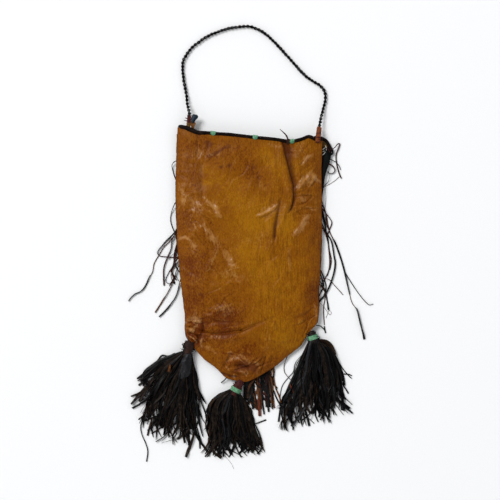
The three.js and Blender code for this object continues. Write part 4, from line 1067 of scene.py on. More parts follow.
def leaf(name, left, right, heights, hide, leather):
    """A stiff flap between two side lines, bent to the heights of its left, middle and right."""
    left, right = course(left, 1.0), course(right, 1.0)
    count = min(len(left), len(right))
    left, right = (line[np.linspace(0, len(line) - 1, count).round().astype(int)] for line in (left, right))
    share = np.linspace(0, 1, 12)
    plan = mix(left[:, None], right[:, None], share[:, None])
    bend = np.broadcast_to(np.interp(share, [0, 0.5, 1], heights), plan.shape[:2])
    piece = laid_grid(name, np.dstack([plan, bend]), hide)
    thicken(piece, leather)
    return piece


tongue = leaf(
    "pull_tab_tongue_tan", [(-115.5, 239), (-117.4, 246), (-121.2, 252), (-121.6, 258)],
    [(-111, 239), (-110.4, 246.4), (-107.8, 251.4), (-112, 256.6)],
    (17.4, 16.4, 17.8), tongue_tan, TONGUE_LEATHER,
)
settle(tongue, "bag", "pull_tab_tongue", angle=50)
leaf_end = leaf(
    "pull_tab_end_teal", [(-115.6, 252.6), (-117, 260), (-115.8, 266.4), (-112.2, 269.8)],
    [(-112.4, 252.8), (-107.8, 259), (-103.2, 264.2), (-105.4, 268.6)],
    (17.2, 19.6, 17.4), end_teal, END_LEATHER,
)
settle(leaf_end, "bag", "pull_tab_end", angle=50)

# Tie thong: a thin dark lace knotted round the binding beside the right tab, with one loose end that
# stands out over the mouth.
LACE_PLACE, KNOT_PLACE = 0.757, 0.765
LACE_END = [(72, 227, 25.5), (66, 233.6, 24.5), (59.4, 239.6, 22.5)]
KNOT_HALF = 1.2
lace_brown = dyed_leather("lace_brown", (32, 14, 11), (54, 26, 19), (86, 50, 38), patch=200)
thong_line = strips_drawn("tie_thong_lace", [lace_brown])
over = set_in(mouth_frame(BACK_PANEL, LACE_PLACE), [-6.0, -3.2, 0.6, 3.8], [1.6, 3.4, 4.1, 3.0], 0.0)
lace_path = course(np.vstack([over, LACE_END]), 1.8)
count = len(lace_path)
run_through(thong_line, lace_path, np.linspace(1.9, 1.2, count), np.linspace(0, 1.3, count))
knot = set_in(
    mouth_frame(BACK_PANEL, KNOT_PLACE), [-4.6, -1, 2.5, 4.2], [2.0, 4.0, 3.6, -1.0], [-1.5, 0.5, 1.2, 0.2],
)
run_through(thong_line, course(knot, 1.5), KNOT_HALF)
settle(made_mesh(thong_line), "bag", "tie_thong", angle=40)

# Side fringes: the dark welt sewn into each side seam, whose outer edge is cut into long thin strips.
# The strips twist as they dry, so each shows its face in places and its cut edge in others.
FRINGE_FALL = 34
FRINGE_SLIM = 0.8
STRIP_STEP = 2.4
SIDE_WELT_HALF = 1.6
strip_black = dyed_leather("strip_black", (5, 5, 5), (10, 9, 9), (26, 24, 23), patch=240, rough=0.4, shine=0.16)
strip_red = dyed_leather("strip_red", (32, 8, 7), (58, 19, 14), (88, 46, 36), patch=220)
strip_brown = dyed_leather("strip_brown", (50, 26, 13), (78, 46, 24), (110, 74, 46), patch=220)
strip_tan = dyed_leather("strip_tan", (72, 38, 10), (104, 60, 18), (136, 90, 40), patch=220)
lace_pale = dyed_leather("lace_pale", (176, 172, 162), (208, 205, 196), (232, 230, 224), patch=220)
BLACK, RED, BROWN, TAN, PALE = range(5)
FRINGE_HIDES = [strip_black, strip_red, strip_brown, strip_tan, lace_pale]
# each strip: its leather, the height it starts at, then its line with the half width that shows, in mm
LEFT_STRIPS = [
    (BLACK, 9, [(-142, 178, 1.2), (-149, 177, 1), (-155.4, 170.8, 0.6), (-154.2, 158, 0.8), (-148, 140, 1.1),
        (-143, 132, 1)]),
    (RED, 9, [(-146, 98, 1.1), (-150.4, 91.6, 1), (-158, 71.2, 0.6), (-158.4, 56, 0.8), (-151, 36, 1.2),
        (-147, 30, 1)]),
    (BLACK, 9, [(-146, 42, 1), (-152, 33, 1.5), (-168.4, 16.8, 1.9), (-176, 8, 0.8), (-183.6, -1, 0.4),
        (-185, -7.4, 0.4), (-179.8, -12.6, 0.5)]),
    (BROWN, 8, [(-146, 38, 1), (-155.6, 23.2, 1.1), (-173.4, 4, 0.7), (-182.4, -11.2, 1.1),
        (-191.4, -26.6, 1.1), (-195.2, -44.4, 0.7), (-202.2, -55.8, 0.7)]),
    (BLACK, 0, [(-199, -50, 0.6), (-202.2, -55.8, 0.9), (-206.6, -67.4, 2), (-211.8, -76.2, 1.7),
        (-219, -83, 0.9), (-229.6, -87.8, 0.9), (-238, -95, 0.6), (-243, -102, 0.8)]),
    (RED, 4, [(-179.8, -12.4, 0.9), (-164, -14, 1.2), (-144.2, -15.8, 1.1), (-140, -16, 1)]),
    (RED, 7, [(-146, 36, 0.8), (-155.6, 20.6, 0.9), (-158.2, 1.6, 0.6), (-164.6, -13.8, 1.2),
        (-172.2, -35.4, 1.1), (-172.8, -52, 1.3), (-171.6, -71.2, 2)]),
    (RED, 9, [(-144, 40, 1), (-148, 36, 1.8), (-145.6, 18.2, 1.8), (-147.4, -4.8, 1.7), (-151.2, -21.4, 2),
        (-153.4, -31.6, 1.8), (-158, -41, 1.2), (-152.2, -52, 1.4), (-148, -60, 1.2)]),
    (RED, 9, [(-143, 20, 1.2), (-149, 2, 1.4), (-152, -16, 1.6), (-148, -34, 1), (-142, -44, 0.9)]),
    (BROWN, 9, [(-141, -8, 1), (-148, -22, 0.8), (-156, -44, 0.9), (-153.6, -59.6, 0.7), (-168.4, -91.6, 0.5),
        (-172, -97, 1.4), (-178.6, -108.2, 1.9), (-189.5, -125, 1.8)]),
    (BLACK, 9, [(-134, -48, 1), (-139, -60, 0.7), (-148, -91.6, 0.6), (-157, -106, 0.9), (-165, -117, 2),
        (-173.4, -126, 2.1), (-182, -133.4, 0.7)]),
    (BLACK, 9, [(-142, -14, 0.8), (-152, -30, 0.6), (-162, -44, 0.6), (-168.4, -62, 0.5), (-161, -68, 0.6),
        (-153.2, -59.6, 1.1), (-150, -66, 1.2)]),
    (BLACK, 8, [(-141, -30, 0.9), (-148, -44, 0.6), (-150, -56, 1.2), (-156, -62, 1.5), (-150, -68, 0.9)]),
    (RED, 6, [(-143, -22, 0.7), (-153, -36, 0.5), (-158, -50, 0.6), (-156, -64, 0.5), (-162, -72, 0.4)]),
    (BLACK, 9, [(-140, -24, 0.6), (-144, -38, 0.5), (-147, -52, 0.4), (-143, -62, 0.5)]),
    (BLACK, 9, [(-140, -8, 0.5), (-149, -6, 0.6), (-157, -12, 0.5), (-162, -20, 0.5)]),
]
RIGHT_STRIPS = [
    (BROWN, 9, [(141, 104, 0.8), (145, 92.8, 0.9), (152.6, 68, 1.1), (158.4, 39.2, 1.2), (168, 18, 1.3),
        (173, 6, 1)]),
    (BLACK, 2, [(166, 22, 1), (170, 14.4, 1.7), (181.4, -16.2, 2.2), (189, -43, 2), (194.8, -69.8, 1),
        (199, -88, 0.8)]),
    (BROWN, 0, [(193, -62, 0.7), (197, -80, 0.9), (204.4, -106.2, 0.9), (209, -113, 0.6), (213.8, -119.6, 0.7)]),
    (BLACK, 0, [(211, -115, 0.7), (213.8, -119.6, 0.9), (219.6, -142.4, 1.2), (224, -160, 1.1),
        (226.4, -168, 1.6), (228.6, -178.4, 2.8)]),
    (RED, 9, [(138, 97, 0.9), (143.4, 90, 1.1), (150.5, 76.7, 1.1), (153.1, 51.2, 1.3), (159.4, 35.9, 1)]),
    (BLACK, 9, [(138, 84, 0.9), (143, 76, 1.2), (146.7, 61.4, 1.4), (151.4, 41, 1.3), (155.6, 15.5, 1)]),
    (BROWN, 9, [(137, 58, 0.7), (143.4, 51.2, 0.8), (150.5, 33, 0.9), (157, 8, 0.9), (161, -24, 0.8),
        (155, -52, 0.8)]),
    (BLACK, 9, [(137, -34, 0.8), (141.8, -42, 1.2), (146.7, -53.4, 1.5), (152, -73.8, 1.4),
        (148.5, -89.1, 1.2), (140.3, -101.8, 1)]),
    (BLACK, 9, [(137, -60, 0.8), (142.9, -67, 1), (150.5, -84, 1.1), (154.3, -101.8, 1.4), (156.1, -119.7, 1.2)]),
    (BLACK, 2, [(183, -22, 0.9), (189, -41.2, 1.1), (200.6, -62.2, 1.1), (215.8, -85.2, 0.7),
        (231.2, -104.2, 0.7), (238.8, -110, 0.6), (246.4, -108, 0.6)]),
    (RED, 9, [(140, 88, 0.8), (145, 82, 0.9), (152.6, 71.8, 0.9), (163.2, 56.4, 0.7), (162, 48, 1.4),
        (158.4, 39.2, 1.4), (155, 30, 0.8)]),
    (RED, 9, [(139, 58, 0.8), (143.2, 46.8, 0.9), (154.6, 25.8, 1.1), (157.4, 2.8, 1.4), (159.4, -24, 1.1),
        (156.6, -43, 0.8), (148.8, -58.4, 0.8), (141, -75, 1)]),
    (BLACK, 9, [(140, 92, 0.9), (144, 81.4, 1), (149, 58, 1.4), (152.6, 35.4, 1.2), (162.2, 18.2, 1.2),
        (168, -12.4, 1.3), (170.4, -27.8, 1.9), (165.2, -54.4, 1.4), (152.6, -85.2, 1.9), (138, -104, 2.2)]),
    (BROWN, 9, [(138, -56, 0.7), (144, -58, 0.7), (156.6, -58.4, 0.8), (170, -71.8, 0.8), (186.2, -89.8, 0.9)]),
    (BLACK, 5, [(142, -70, 0.8), (149, -82, 1), (152.6, -92.8, 1.6), (155, -106, 1.5), (157.6, -120, 0.9)]),
    (BROWN, 8, [(139, -68, 0.6), (150, -86, 0.7), (149.8, -96.6, 0.7), (147, -115.8, 0.9), (148, -140, 1.1),
        (148.4, -150, 0.8)]),
    (BLACK, 0, [(148.4, -152, 0.8), (149, -158, 1.3), (151.4, -166, 1.6)]),
    (BROWN, 9, [(132, -102, 0.4), (142, -108, 0.4), (152, -120, 0.4), (160, -130, 0.4), (163, -125, 0.35),
        (158, -121, 0.35), (155, -128, 0.35), (152, -136, 0.35)]),
    (BLACK, 9, [(139, -40, 1.2), (143, -56, 1.5), (147, -70, 1.2), (141, -86, 1), (137, -94, 1)]),
    (BLACK, 9, [(138, 66, 0.7), (148, 44, 0.7), (156, 20, 0.6), (159, 0, 0.6), (163, -20, 0.6), (160, -40, 0.6)]),
    (BLACK, 9, [(132, -150, 1), (141, -152, 1.3), (148, -159, 1)]),
    (BROWN, 9, [(146, 130, 0.35), (150.4, 118, 0.35), (151.6, 98, 0.35), (150, 80, 0.35)]),
    (RED, 7, [(160, 200, 0.5), (169.4, 204.6, 0.6), (174.2, 210.8, 0.9), (179, 212.8, 1.6),
        (177.6, 204.6, 1.1), (173, 193.4, 1.3), (171.8, 184.8, 1.2), (173, 174.8, 1.3), (175.4, 162.6, 1.5),
        (180.4, 147.6, 1.4), (182.8, 143, 1.2)]),
    (BROWN, 0, [(178.6, 146.4, 0.45), (166.8, 136.6, 0.4), (150.8, 127.2, 0.5), (146, 124, 0.5)]),
    (BLACK, 7, [(155, 184, 0.7), (163.2, 179.8, 1), (172.4, 174.8, 0.7), (179.2, 166.2, 0.5), (181, 160, 0.4)]),
    (RED, 7, [(154, 172, 1), (160.6, 170.4, 1.6), (166, 166.6, 1.5), (169.4, 160, 0.7), (167, 154.4, 0.6),
        (161, 152.6, 0.6), (155, 156, 0.6)]),
    (BLACK, 7, [(156, 158, 0.5), (158, 150.2, 0.5), (157.4, 139, 0.5), (152, 131.6, 0.6), (147, 126, 0.6)]),
    (BLACK, 7, [(158, 203, 1.2), (163, 200, 2.2), (165.5, 194, 2.4), (162, 190, 1.2)]),
    (RED, 7, [(152, 205, 0.8), (158, 198, 1), (161, 190, 0.9)]),
    # these pale bits stand for light showing through gaps at the corner: painted light
    (PALE, 9, [(150.4, 208.4, 0.5), (151.2, 206, 0.8), (152, 203.8, 0.6)]),
    (PALE, 9, [(144.6, 199.6, 0.5), (147, 202, 0.75), (149.4, 203.4, 0.4)]),
    (PALE, 9, [(151.8, 202, 0.4), (152.2, 200, 0.6), (152, 198.6, 0.4)]),
    (PALE, 9, [(144.4, 196, 0.4), (146.6, 197, 0.6), (148.6, 197.2, 0.3)]),
    (PALE, 9, [(144.8, 189.4, 0.7), (147.4, 191.8, 0.9), (150.4, 195.4, 0.4)]),
]


def twisted_strip(line, hide, high, points):
    """Lays a strip that falls from its start to the floor and turns on edge where it shows narrow."""
    route = course(points, STRIP_STEP)
    full = route[:, 2].max()
    turn = np.arccos(np.clip(route[:, 2] / full, 0.1, 1))
    lie = full * (np.sin(turn) + 0.3 * np.cos(turn)) + 0.25
    fallen = rise(np.arange(len(route)) * STRIP_STEP, 0, FRINGE_FALL)
    z = np.maximum(lie, lie * fallen + high * (1 - fallen))
    run_through(line, np.column_stack([route[:, :2], z]), full, turn, hide)


sides = (("left", -1, left_edge, LEFT_STRIPS), ("right", 1, right_edge, RIGHT_STRIPS))
for side, out, edge_line, strips in sides:
    fringe_line = strips_drawn(f"side_fringe_strips_{side}", FRINGE_HIDES)
    down = np.linspace(0.03, 0.995, 150)
    seam = edge_line(down)
    seam = seam + level(out * (0.7 * lumps(seam, 9, 5.5) - 0.3), 0)
    run_through(fringe_line, np.column_stack([seam, seam_height(0, down)]), SIDE_WELT_HALF, 0, RED)
    for hide, high, points in strips:
        twisted_strip(fringe_line, hide, high, np.array(points) * (1, 1, FRINGE_SLIM))
    settle(made_mesh(fringe_line), "bag", f"side_fringe_{side}", angle=40)

# Foot welt: a narrow dark strip caught in the seam round the pointed foot. It is trimmed close to the
# panels, so that only its edge shows.
FOOT_WELT_HALF, FOOT_WELT_IN = 1.4, 2.2
foot_stops = np.linspace(0.0, 1.0, 130)
foot_plan = foot_edge(foot_stops)
foot_plan = foot_plan + level(0, FOOT_WELT_IN + 0.5 * lumps(foot_plan, 8, 2.8))
welt_line = strips_drawn("foot_welt_strip", [strip_red])
run_through(welt_line, np.column_stack([foot_plan, seam_height(foot_stops, 1)]), FOOT_WELT_HALF)
settle(made_mesh(welt_line), "bag", "foot_welt", angle=40)

# Foot fringe: a bunch of brown, black and tan strips sewn to the front panel, which comes out from
# under the foot beside the middle tassel, with a few curled offcuts.
UNDER_COUNT, UNDER_SEED = 34, 17
strip_rust = dyed_leather("strip_rust", (70, 28, 14), (102, 46, 26), (140, 84, 54), patch=200)
strip_teal = dyed_leather("strip_teal", (8, 14, 17), (16, 26, 30), (34, 44, 48), patch=200)
RUST, TEAL = 4, 5
FOOT_HIDES = [strip_black, strip_red, strip_brown, strip_tan, strip_rust, strip_teal]
FOOT_STRIPS = [
    (TAN, 3, [(8, -236, 1.4), (7.4, -262, 1.6), (8.0, -283, 1.7), (8.8, -309, 1.6)]),
    (TAN, 4, [(14, -236, 1.5), (14, -262, 1.7), (15.6, -283, 1.9), (18.8, -312, 2.0)]),
    (RUST, 3, [(16.4, -298, 2.4), (18.6, -314, 2.8), (19.6, -332, 2.7)]),
    (BROWN, 3, [(17, -238, 2), (17, -268, 2.2), (21, -292, 2), (22, -318, 1.6)]),
    (BLACK, 2, [(4, -238, 1.6), (3, -268, 2), (4, -296, 2), (6, -318, 1.8)]),
    (TEAL, 2, [(8, -240, 1.5), (4, -276, 1.6), (5, -300, 2), (8, -316, 1.6)]),
    (TEAL, 2, [(22, -240, 1.6), (22, -276, 1.4), (25, -304, 1.3), (28.4, -328.6, 1.5)]),
    (BLACK, 3, [(24, -236, 1.5), (27, -270, 1.8), (31, -292, 1.9), (33, -314, 1.7)]),
    (BLACK, 2, [(29, -232, 1.5), (31, -262, 1.8), (34, -290, 1.9), (37.4, -323.6, 1.8)]),
    (BROWN, 4, [(33, -228, 1.5), (37, -262, 1.6), (41, -284, 1.8), (43.6, -306, 1.5)]),
    (BLACK, 2, [(37, -226, 1.5), (40, -256, 1.6), (43, -286, 1.4), (44.6, -318, 1)]),
    (TAN, 4, [(40, -226, 1.5), (43, -260, 1.4), (45.6, -288, 1.5), (48.4, -316, 1.4)]),
    (BLACK, 3, [(34, -236, 1.2), (36, -266, 1.8), (38, -300, 1.7), (40, -314, 1.3)]),
    (TAN, 4, [(45, -222, 1.4), (46.6, -240, 1.5), (49.4, -269.4, 1.4), (58.6, -293.6, 1.2), (62.4, -308, 0.9)]),
    (TAN, 2, [(41, -232, 1), (43, -262, 1.3), (44, -284, 1)]),
    (BLACK, 1, [(47, -280, 0.8), (52, -294, 1.3), (60, -309.6, 1.4), (61.6, -315, 1.4)]),
    (BLACK, 0, [(61.4, -312, 1.2), (59.4, -326, 1.7), (57, -343.4, 1.7)]),
    (RED, 9, [(77, -204, 0.6), (74.4, -212, 0.6), (68.4, -230.4, 0.7), (69, -244, 0.6), (76.8, -254.8, 0.5),
        (83, -261.4, 0.5)]),
    (BLACK, 7, [(106, -207, 0.5), (90.6, -225.8, 0.5), (86, -244, 0.5), (76.8, -254.8, 0.7),
        (64.6, -271.8, 0.7), (60, -293.2, 0.6), (60, -310, 0.7)]),
    (BLACK, 9, [(-44, -250, 1), (-50, -258.6, 1.2), (-57.6, -265.2, 1)]),
    (BLACK, 8, [(2, -254, 2.4), (-5, -264, 3.0), (-9, -276, 2.6), (-10, -290, 1.8)]),
    (BROWN, 9, [(9, -256, 1.8), (2, -266, 2.2), (-4, -280, 2.0), (-5, -296, 1.3)]),
    (BLACK, 6, [(-12, -258, 1.2), (-6, -270, 1.6), (2, -276, 1.5), (10, -272, 1)]),
    (BLACK, 7, [(-11, -254, 1.4), (-10.6, -268, 1.8), (-7, -280, 1.6), (-1, -278, 1.2)]),
    (BLACK, 7, [(-8, -252, 1.4), (-9, -266, 1.8), (-11, -280, 1.6), (-8.4, -292, 1.3), (-4, -290, 1)]),
    (TEAL, 7, [(-6, -252, 1.4), (-8, -268, 1.6), (-5, -282, 1.5), (2, -290, 1.2)]),
    (BLACK, 5, [(-4, -258, 1.2), (0, -276, 1.8), (-6, -292, 1.5), (-13.6, -304, 1), (-8.2, -312, 1),
        (-3, -304, 1.1), (-8, -296, 1)]),
    (BLACK, 5, [(0, -256, 1.2), (3, -280, 1.8), (-2, -300, 1.6), (-7, -316, 1.2), (-6, -330, 1)]),
    (TEAL, 4, [(-8, -260, 1.2), (-4, -280, 1.8), (2, -290, 1.4), (4, -302, 1)]),
    (BLACK, 3, [(-10, -300, 1), (-5, -318, 1.2), (0, -316, 1.2), (4, -325, 1.4), (1.6, -334, 1.2),
        (-4, -339, 1)]),
    (BLACK, 3, [(-12, -296, 1), (-8, -310, 1.3), (-2, -322, 1.1), (-5, -336, 1.2)]),
    (BLACK, 4, [(-11, -280, 1.2), (-6, -286, 1.4), (2, -283, 1.2), (9, -276, 1)]),
    (RED, 5, [(12, -258, 1), (19, -268, 1.3), (23, -282, 1.2), (26, -292, 1)]),
    (BLACK, 5, [(8, -262, 1.2), (18, -274, 1.1), (27, -276, 1), (35, -270, 0.9)]),
]
# more strips, deeper in the bunch, which show between those above
rng = random.Random(UNDER_SEED)
under_strips = []
for _ in range(UNDER_COUNT):
    x = rng.uniform(-12, 46)
    reach = rng.uniform(46, 74) if x > 2 else rng.uniform(40, 56)
    half = rng.uniform(0.7, 1.7)
    start = -258 + 0.62 * max(x, 0)
    line = [
        (x + rng.gauss(0, 2), start, half),
        (x + 1 + rng.gauss(0, 3), start - reach * 0.35, half * rng.uniform(0.5, 1)),
        (x + 3 + rng.gauss(0, 4), start - reach * 0.7, half),
        (x + 6 + rng.gauss(0, 4), start - reach, half * rng.uniform(0.5, 1)),
    ]
    hide = rng.choices((BLACK, TEAL, BROWN, RED), (60, 14, 16, 10))[0]
    under_strips.append((hide, rng.uniform(0, 3), line))
foot_line = strips_drawn("foot_fringe_strips", FOOT_HIDES)
for strip in [*reversed(under_strips), *FOOT_STRIPS]:
    twisted_strip(foot_line, *strip)
settle(made_mesh(foot_line), "bag", "foot_fringe", angle=40)

# Tassel necks: the ends of each tassel's strips, bound tightly round with a thong where they are sewn
# to the foot. The left one is frayed and has no band; the other two lean with the way they lie.
NECK_HEIGHT, NECK_FLAT = 10.4, 0.8
NECK_PITCH, NECK_PROUD, NECK_SUNK = 4.4, 0.9, 0.5
NECK_STEP, NECK_ROUGHNESS = 0.6, 4.5
NECK_FRAYS, TORN_FRAYS, NECK_SEED = 12, 30, 41
neck_brown = dyed_leather("neck_brown", (26, 14, 9), (48, 26, 17), (76, 48, 34), patch=200, rough=0.55)
neck_russet = dyed_leather("neck_russet", (44, 14, 12), (72, 26, 22), (104, 54, 46), patch=200, rough=0.55)
neck_black = dyed_leather("neck_black", (12, 8, 7), (26, 16, 12), (54, 36, 28), patch=200)
# each neck: its middle, its lean in degrees, how far it runs up and down, its half width, 1 if it is torn
Neck = namedtuple("Neck", "middle lean above below half torn hide slot")
NECKS = {
    "left": Neck((-123.6, -201.0), 14, 19, 11, 8.6, 1, neck_brown, "brown_leather"),
    "bottom": Neck((-28.0, -278.6), 28.4, 22, 12, 9.0, 0, neck_russet, "russet_leather"),
    "right": Neck((125.4, -174.2), -17.6, 13, 11, 8.2, 0, neck_black, "brown_leather"),
}


def hung(middle, lean, x, y):
    """Places seen from above: x across a hanging piece and y down it, in its own lean."""
    a = math.radians(lean)
    x, y = np.asarray(x, float)[..., None], np.asarray(y, float)[..., None]
    return np.array(middle) + x * (math.cos(a), -math.sin(a)) - y * (math.sin(a), math.cos(a))


rng = random.Random(NECK_SEED)
for name, neck in NECKS.items():
    down = np.arange(-neck.above, neck.below + 0.01, NECK_STEP)
    angle = np.linspace(0, math.tau, 32, endpoint=False)
    bulge = wound(down, NECK_PITCH, angle, NECK_PROUD, NECK_SUNK)
    tapers = [0.72 + 0.4 * neck.torn, 0.94 + 0.36 * neck.torn, 1, 1.04]
    taper = np.interp(down, [-neck.above, -neck.above * 0.5, 0, neck.below], tapers)[:, None]
    wide = (neck.half * taper + bulge) * np.cos(angle)
    high = NECK_HEIGHT + ((neck.half - NECK_FLAT) * taper + bulge) * np.sin(angle)
    rings = np.dstack([hung(neck.middle, neck.lean, wide, down[:, None]), high])
    rings[..., :2] += ripples(rings, NECK_ROUGHNESS)[..., None] * (0.9 + 1.6 * neck.torn)
    piece = laid_tube(f"{name}_tassel_wound_neck", rings, neck.hide)
    frays = strips_drawn(f"{name}_neck_frays", [neck.hide, strip_black])
    for _ in range(NECK_FRAYS + TORN_FRAYS * neck.torn):
        x = rng.choice((-1, -1, 1)) * rng.uniform(0.5, 1) * neck.half
        y = rng.uniform(-0.8 * neck.above, 0.7 * neck.below)
        reach, slope = rng.uniform(3, 7), rng.uniform(-0.9, 0.5)
        z = NECK_HEIGHT + rng.uniform(-0.4, 0.8) * neck.half
        aside = x * np.array([0.8, 1.1, 1.1]) + math.copysign(reach, x) * np.array([0, 0.4, 0.9])
        fray = hung(neck.middle, neck.lean, aside, y + np.array([0, 0.3, 1]) * reach * slope)
        fray = np.column_stack([fray, [z, z + 0.6, z + rng.uniform(-1.5, 1.5)]])
        run_through(frays, fray, [0.9, 0.8, 0.5], rng.uniform(-0.8, 0.8), 1)
    join_to(piece, made_mesh(frays))
    settle(piece, f"{name}_tassel", f"{name}_tassel_neck", angle=60)

# Tassel bands: a flat strip of green goatskin wrapped once round the neck of the middle and the right
# tassel. It is drawn tight at its edges and a little slack between them.
BAND_WIDTH, BAND_LEATHER = 8, 1.1
BAND_STEPS = np.array([1, 0.86, 0.5, 0, -0.5, -0.86, -1])[:, None]
BAND_SLACK = np.array([0.7, 0.95, 1.05, 1.1, 1.05, 0.95, 0.7])[:, None]
for name in ("bottom", "right"):
    neck = NECKS[name]
    angle = np.linspace(0, math.tau, 41)
    wide = (neck.half + BAND_SLACK) * np.cos(angle)
    high = NECK_HEIGHT + (neck.half - NECK_FLAT + BAND_SLACK) * np.sin(angle)
    place = hung(neck.middle, neck.lean, wide, BAND_STEPS * BAND_WIDTH / 2)
    band = laid_grid(f"{name}_tassel_green_band", np.dstack([place, high]), tab_green)
    close_up(band)
    thicken(band, BAND_LEATHER, 1)
    settle(band, f"{name}_tassel", f"{name}_tassel_band", angle=50)

# Tassel skirts: one long black goatskin wound up at the neck and slit into narrow strips, which spread
# over the floor in locks. The strips are stiff and uneven; some are brown on their flesh side.
skirt_black = dyed_leather(
    "skirt_black", (2, 1, 1), (4, 3, 3), (26, 22, 20), patch=150, rough=0.32, shine=0.11, wear=0.6,
)
skirt_umber = dyed_leather(
    "skirt_umber", (11, 7, 5), (29, 20, 14), (60, 46, 36), patch=150, rough=0.42, shine=0.1, wear=0.58,
)
skirt_blue = dyed_leather(
    "skirt_blue", (4, 5, 7), (14, 15, 18), (48, 49, 54), patch=150, rough=0.3, shine=0.24, wear=0.6,
)
# the uncut flap's black leather, painted grey for its sheen
skirt_grey = dyed_leather(
    "skirt_grey", (13, 13, 15), (27, 27, 31), (50, 50, 55), patch=60, rough=0.4, shine=0.2, wear=0.6,
)
skirt_brown = dyed_leather(
    "skirt_brown", (28, 17, 10), (50, 31, 18), (80, 54, 35), patch=170, rough=0.55, shine=0.1,
)
SKIRT_HIDES = [skirt_black, skirt_umber, skirt_blue, skirt_brown, strip_rust, strip_tan]
JET, UMBER, BLUE, COCOA, FOX, FAWN = range(6)
CUT_HIDES = (JET, UMBER, BLUE, COCOA)
CURLED = ((-1, -1.4), (-1, 0.2), (0, 1.6), (1, 0.2), (1, -1.4), (0, 0))
curled_strip = strip_section("curled_strip", 0.2, CURLED)
# strips of each leather out of a hundred, in a lock and among its strays; then the half widths they are cut to
LOCK_SHARES, STRAY_SHARES = (56, 30, 13, 1), (56, 28, 14, 2)
HALF_WIDTHS, WIDTH_SHARES = (0.9, 1.5, 2.1, 2.9), (14, 32, 36, 18)
LOCKS, STRIP_POINTS = 60, 14
NECK_INSIDE = 6.0
SKIRT_TOP = 16
SKIRT_HEIGHT, SKIRT_EDGE, SKIRT_HIGHEST = 24, 4, 26
# each skirt: hinge, lean, length and slant, then the reach, shoulder and hem of its left and right halves
Skirt = namedtuple("Skirt", "hinge lean length slant left right seed")
SKIRTS = {
    "left": Skirt((-124.5, -195.8), 18, 192, -0.04, (70, 2.6, 0.42), (78, 1.5, 0.2), 7),
    "bottom": Skirt((-26.4, -272.7), 1, 138, 0.02, (58, 9.0, 0.06), (39, 2.4, 0.1), 8),
    "right": Skirt((132.5, -162.3), 1, 182, 0.09, (70, 1.4, 0.02), (53, 5.0, 0.06), 9),
}
# strips that stand out by themselves: their leather, the height they start at, then their line
LOOSE_STRIPS = {
    "left": [
        (JET, 8, [(-150, -206, 1.2), (-163.8, -212, 1.4), (-175.4, -210.6, 1.5), (-183.8, -219.8, 1.4),
            (-190, -232, 1.3), (-204, -248, 1.2)]),
        (JET, 2, [(-200, -306, 1.2), (-212, -332, 1.2), (-218.4, -352, 1.1), (-216.6, -368, 0.9),
            (-208.6, -387, 0.9), (-204.4, -402, 1.1), (-207, -423, 1.0)]),
        (FAWN, 17, [(-159, -228, 1.2), (-161.6, -240, 2.4), (-166, -256, 2.7), (-169.6, -267, 1.9)]),
        (UMBER, 3, [(-112, -366, 1.6), (-118, -386, 2.6), (-124, -402, 3.2), (-128.6, -413.6, 2)]),
        (UMBER, 4, [(-192, -256, 2), (-206, -272, 3.2), (-222, -290, 3), (-238, -307.6, 1.1)]),
        (JET, 5, [(-182, -222, 2), (-200, -240, 3.4), (-213, -249, 3.0), (-226, -256.6, 0.8)]),
        (COCOA, 2, [(-196, -336, 1.2), (-201, -354, 1.8), (-204.6, -371, 2)]),
    ],
    "bottom": [
        (JET, 6, [(-4, -343, 1), (9.2, -347, 1.2), (22, -343.4, 1.3), (32.4, -339.6, 1.5)]),
        (JET, 3, [(4, -338, 0.9), (14.4, -358, 1), (21, -376, 1.6), (23.6, -391, 2.0), (19.6, -402, 1.2),
            (13.6, -407, 0.7)]),
        (JET, 1, [(-60, -398, 0.22), (-50, -412, 0.22), (-38, -426, 0.22), (-32, -438, 0.22)]),
    ],
    "right": [
        (COCOA, 14, [(138, -180, 2), (152, -184, 4.4), (162, -194, 5), (168, -210, 4)]),
        (UMBER, 14, [(142, -186, 2), (154, -200, 4), (160, -222, 4), (164, -246, 3)]),
        (FOX, 8, [(79, -267, 0.6), (82, -274, 1.5), (85, -281, 1.6), (88, -288, 0.8)]),
        (JET, 3, [(176, -222, 0.8), (186, -238, 1), (196, -250, 1), (203, -257, 0.8)]),
        (JET, 3, [(178, -240, 0.8), (186, -247, 1), (197, -248.6, 1.1), (203.6, -251.4, 0.9)]),
        (JET, 2, [(182, -262, 1), (190, -276, 1.2), (197, -287, 1.5)]),
        (JET, 2, [(184, -286, 1), (186, -304, 1.4), (187, -318, 3.2), (186, -321, 3.4)]),
        (JET, 9, [(118, -200, 0.5), (104, -211, 0.5), (92, -232, 0.5), (84, -262, 0.5), (78, -292, 0.5)]),
        (JET, 9, [(116, -206, 0.5), (100, -224, 0.5), (88, -254, 0.5), (77, -290, 0.5)]),
    ],
}
# the left tassel's uncut flap, row by row upwards; its grey is a painted sheen on black leather
UNCUT_LEATHER = 1.2
UNCUT_ROWS = [
    [(-144, -262, 12), (-137, -258, 15), (-128, -256, 17), (-120, -252, 15)],
    [(-142, -246, 14), (-134, -244, 18.5), (-126, -242, 19.5), (-118.4, -240, 17)],
    [(-139, -230, 15), (-132, -228, 20), (-125, -227, 21), (-118, -226, 18)],
    [(-133, -215, 17), (-128, -214, 20), (-122, -214, 20.6), (-117.6, -214, 18)],
    [(-129, -205, 17), (-126, -205, 19), (-122, -205, 19), (-118.6, -206, 17)],
]
# its dents: how wide and how deep
UNCUT_DENTS, UNCUT_SEED = [(13, 2.2), (5, 1.1)], 8


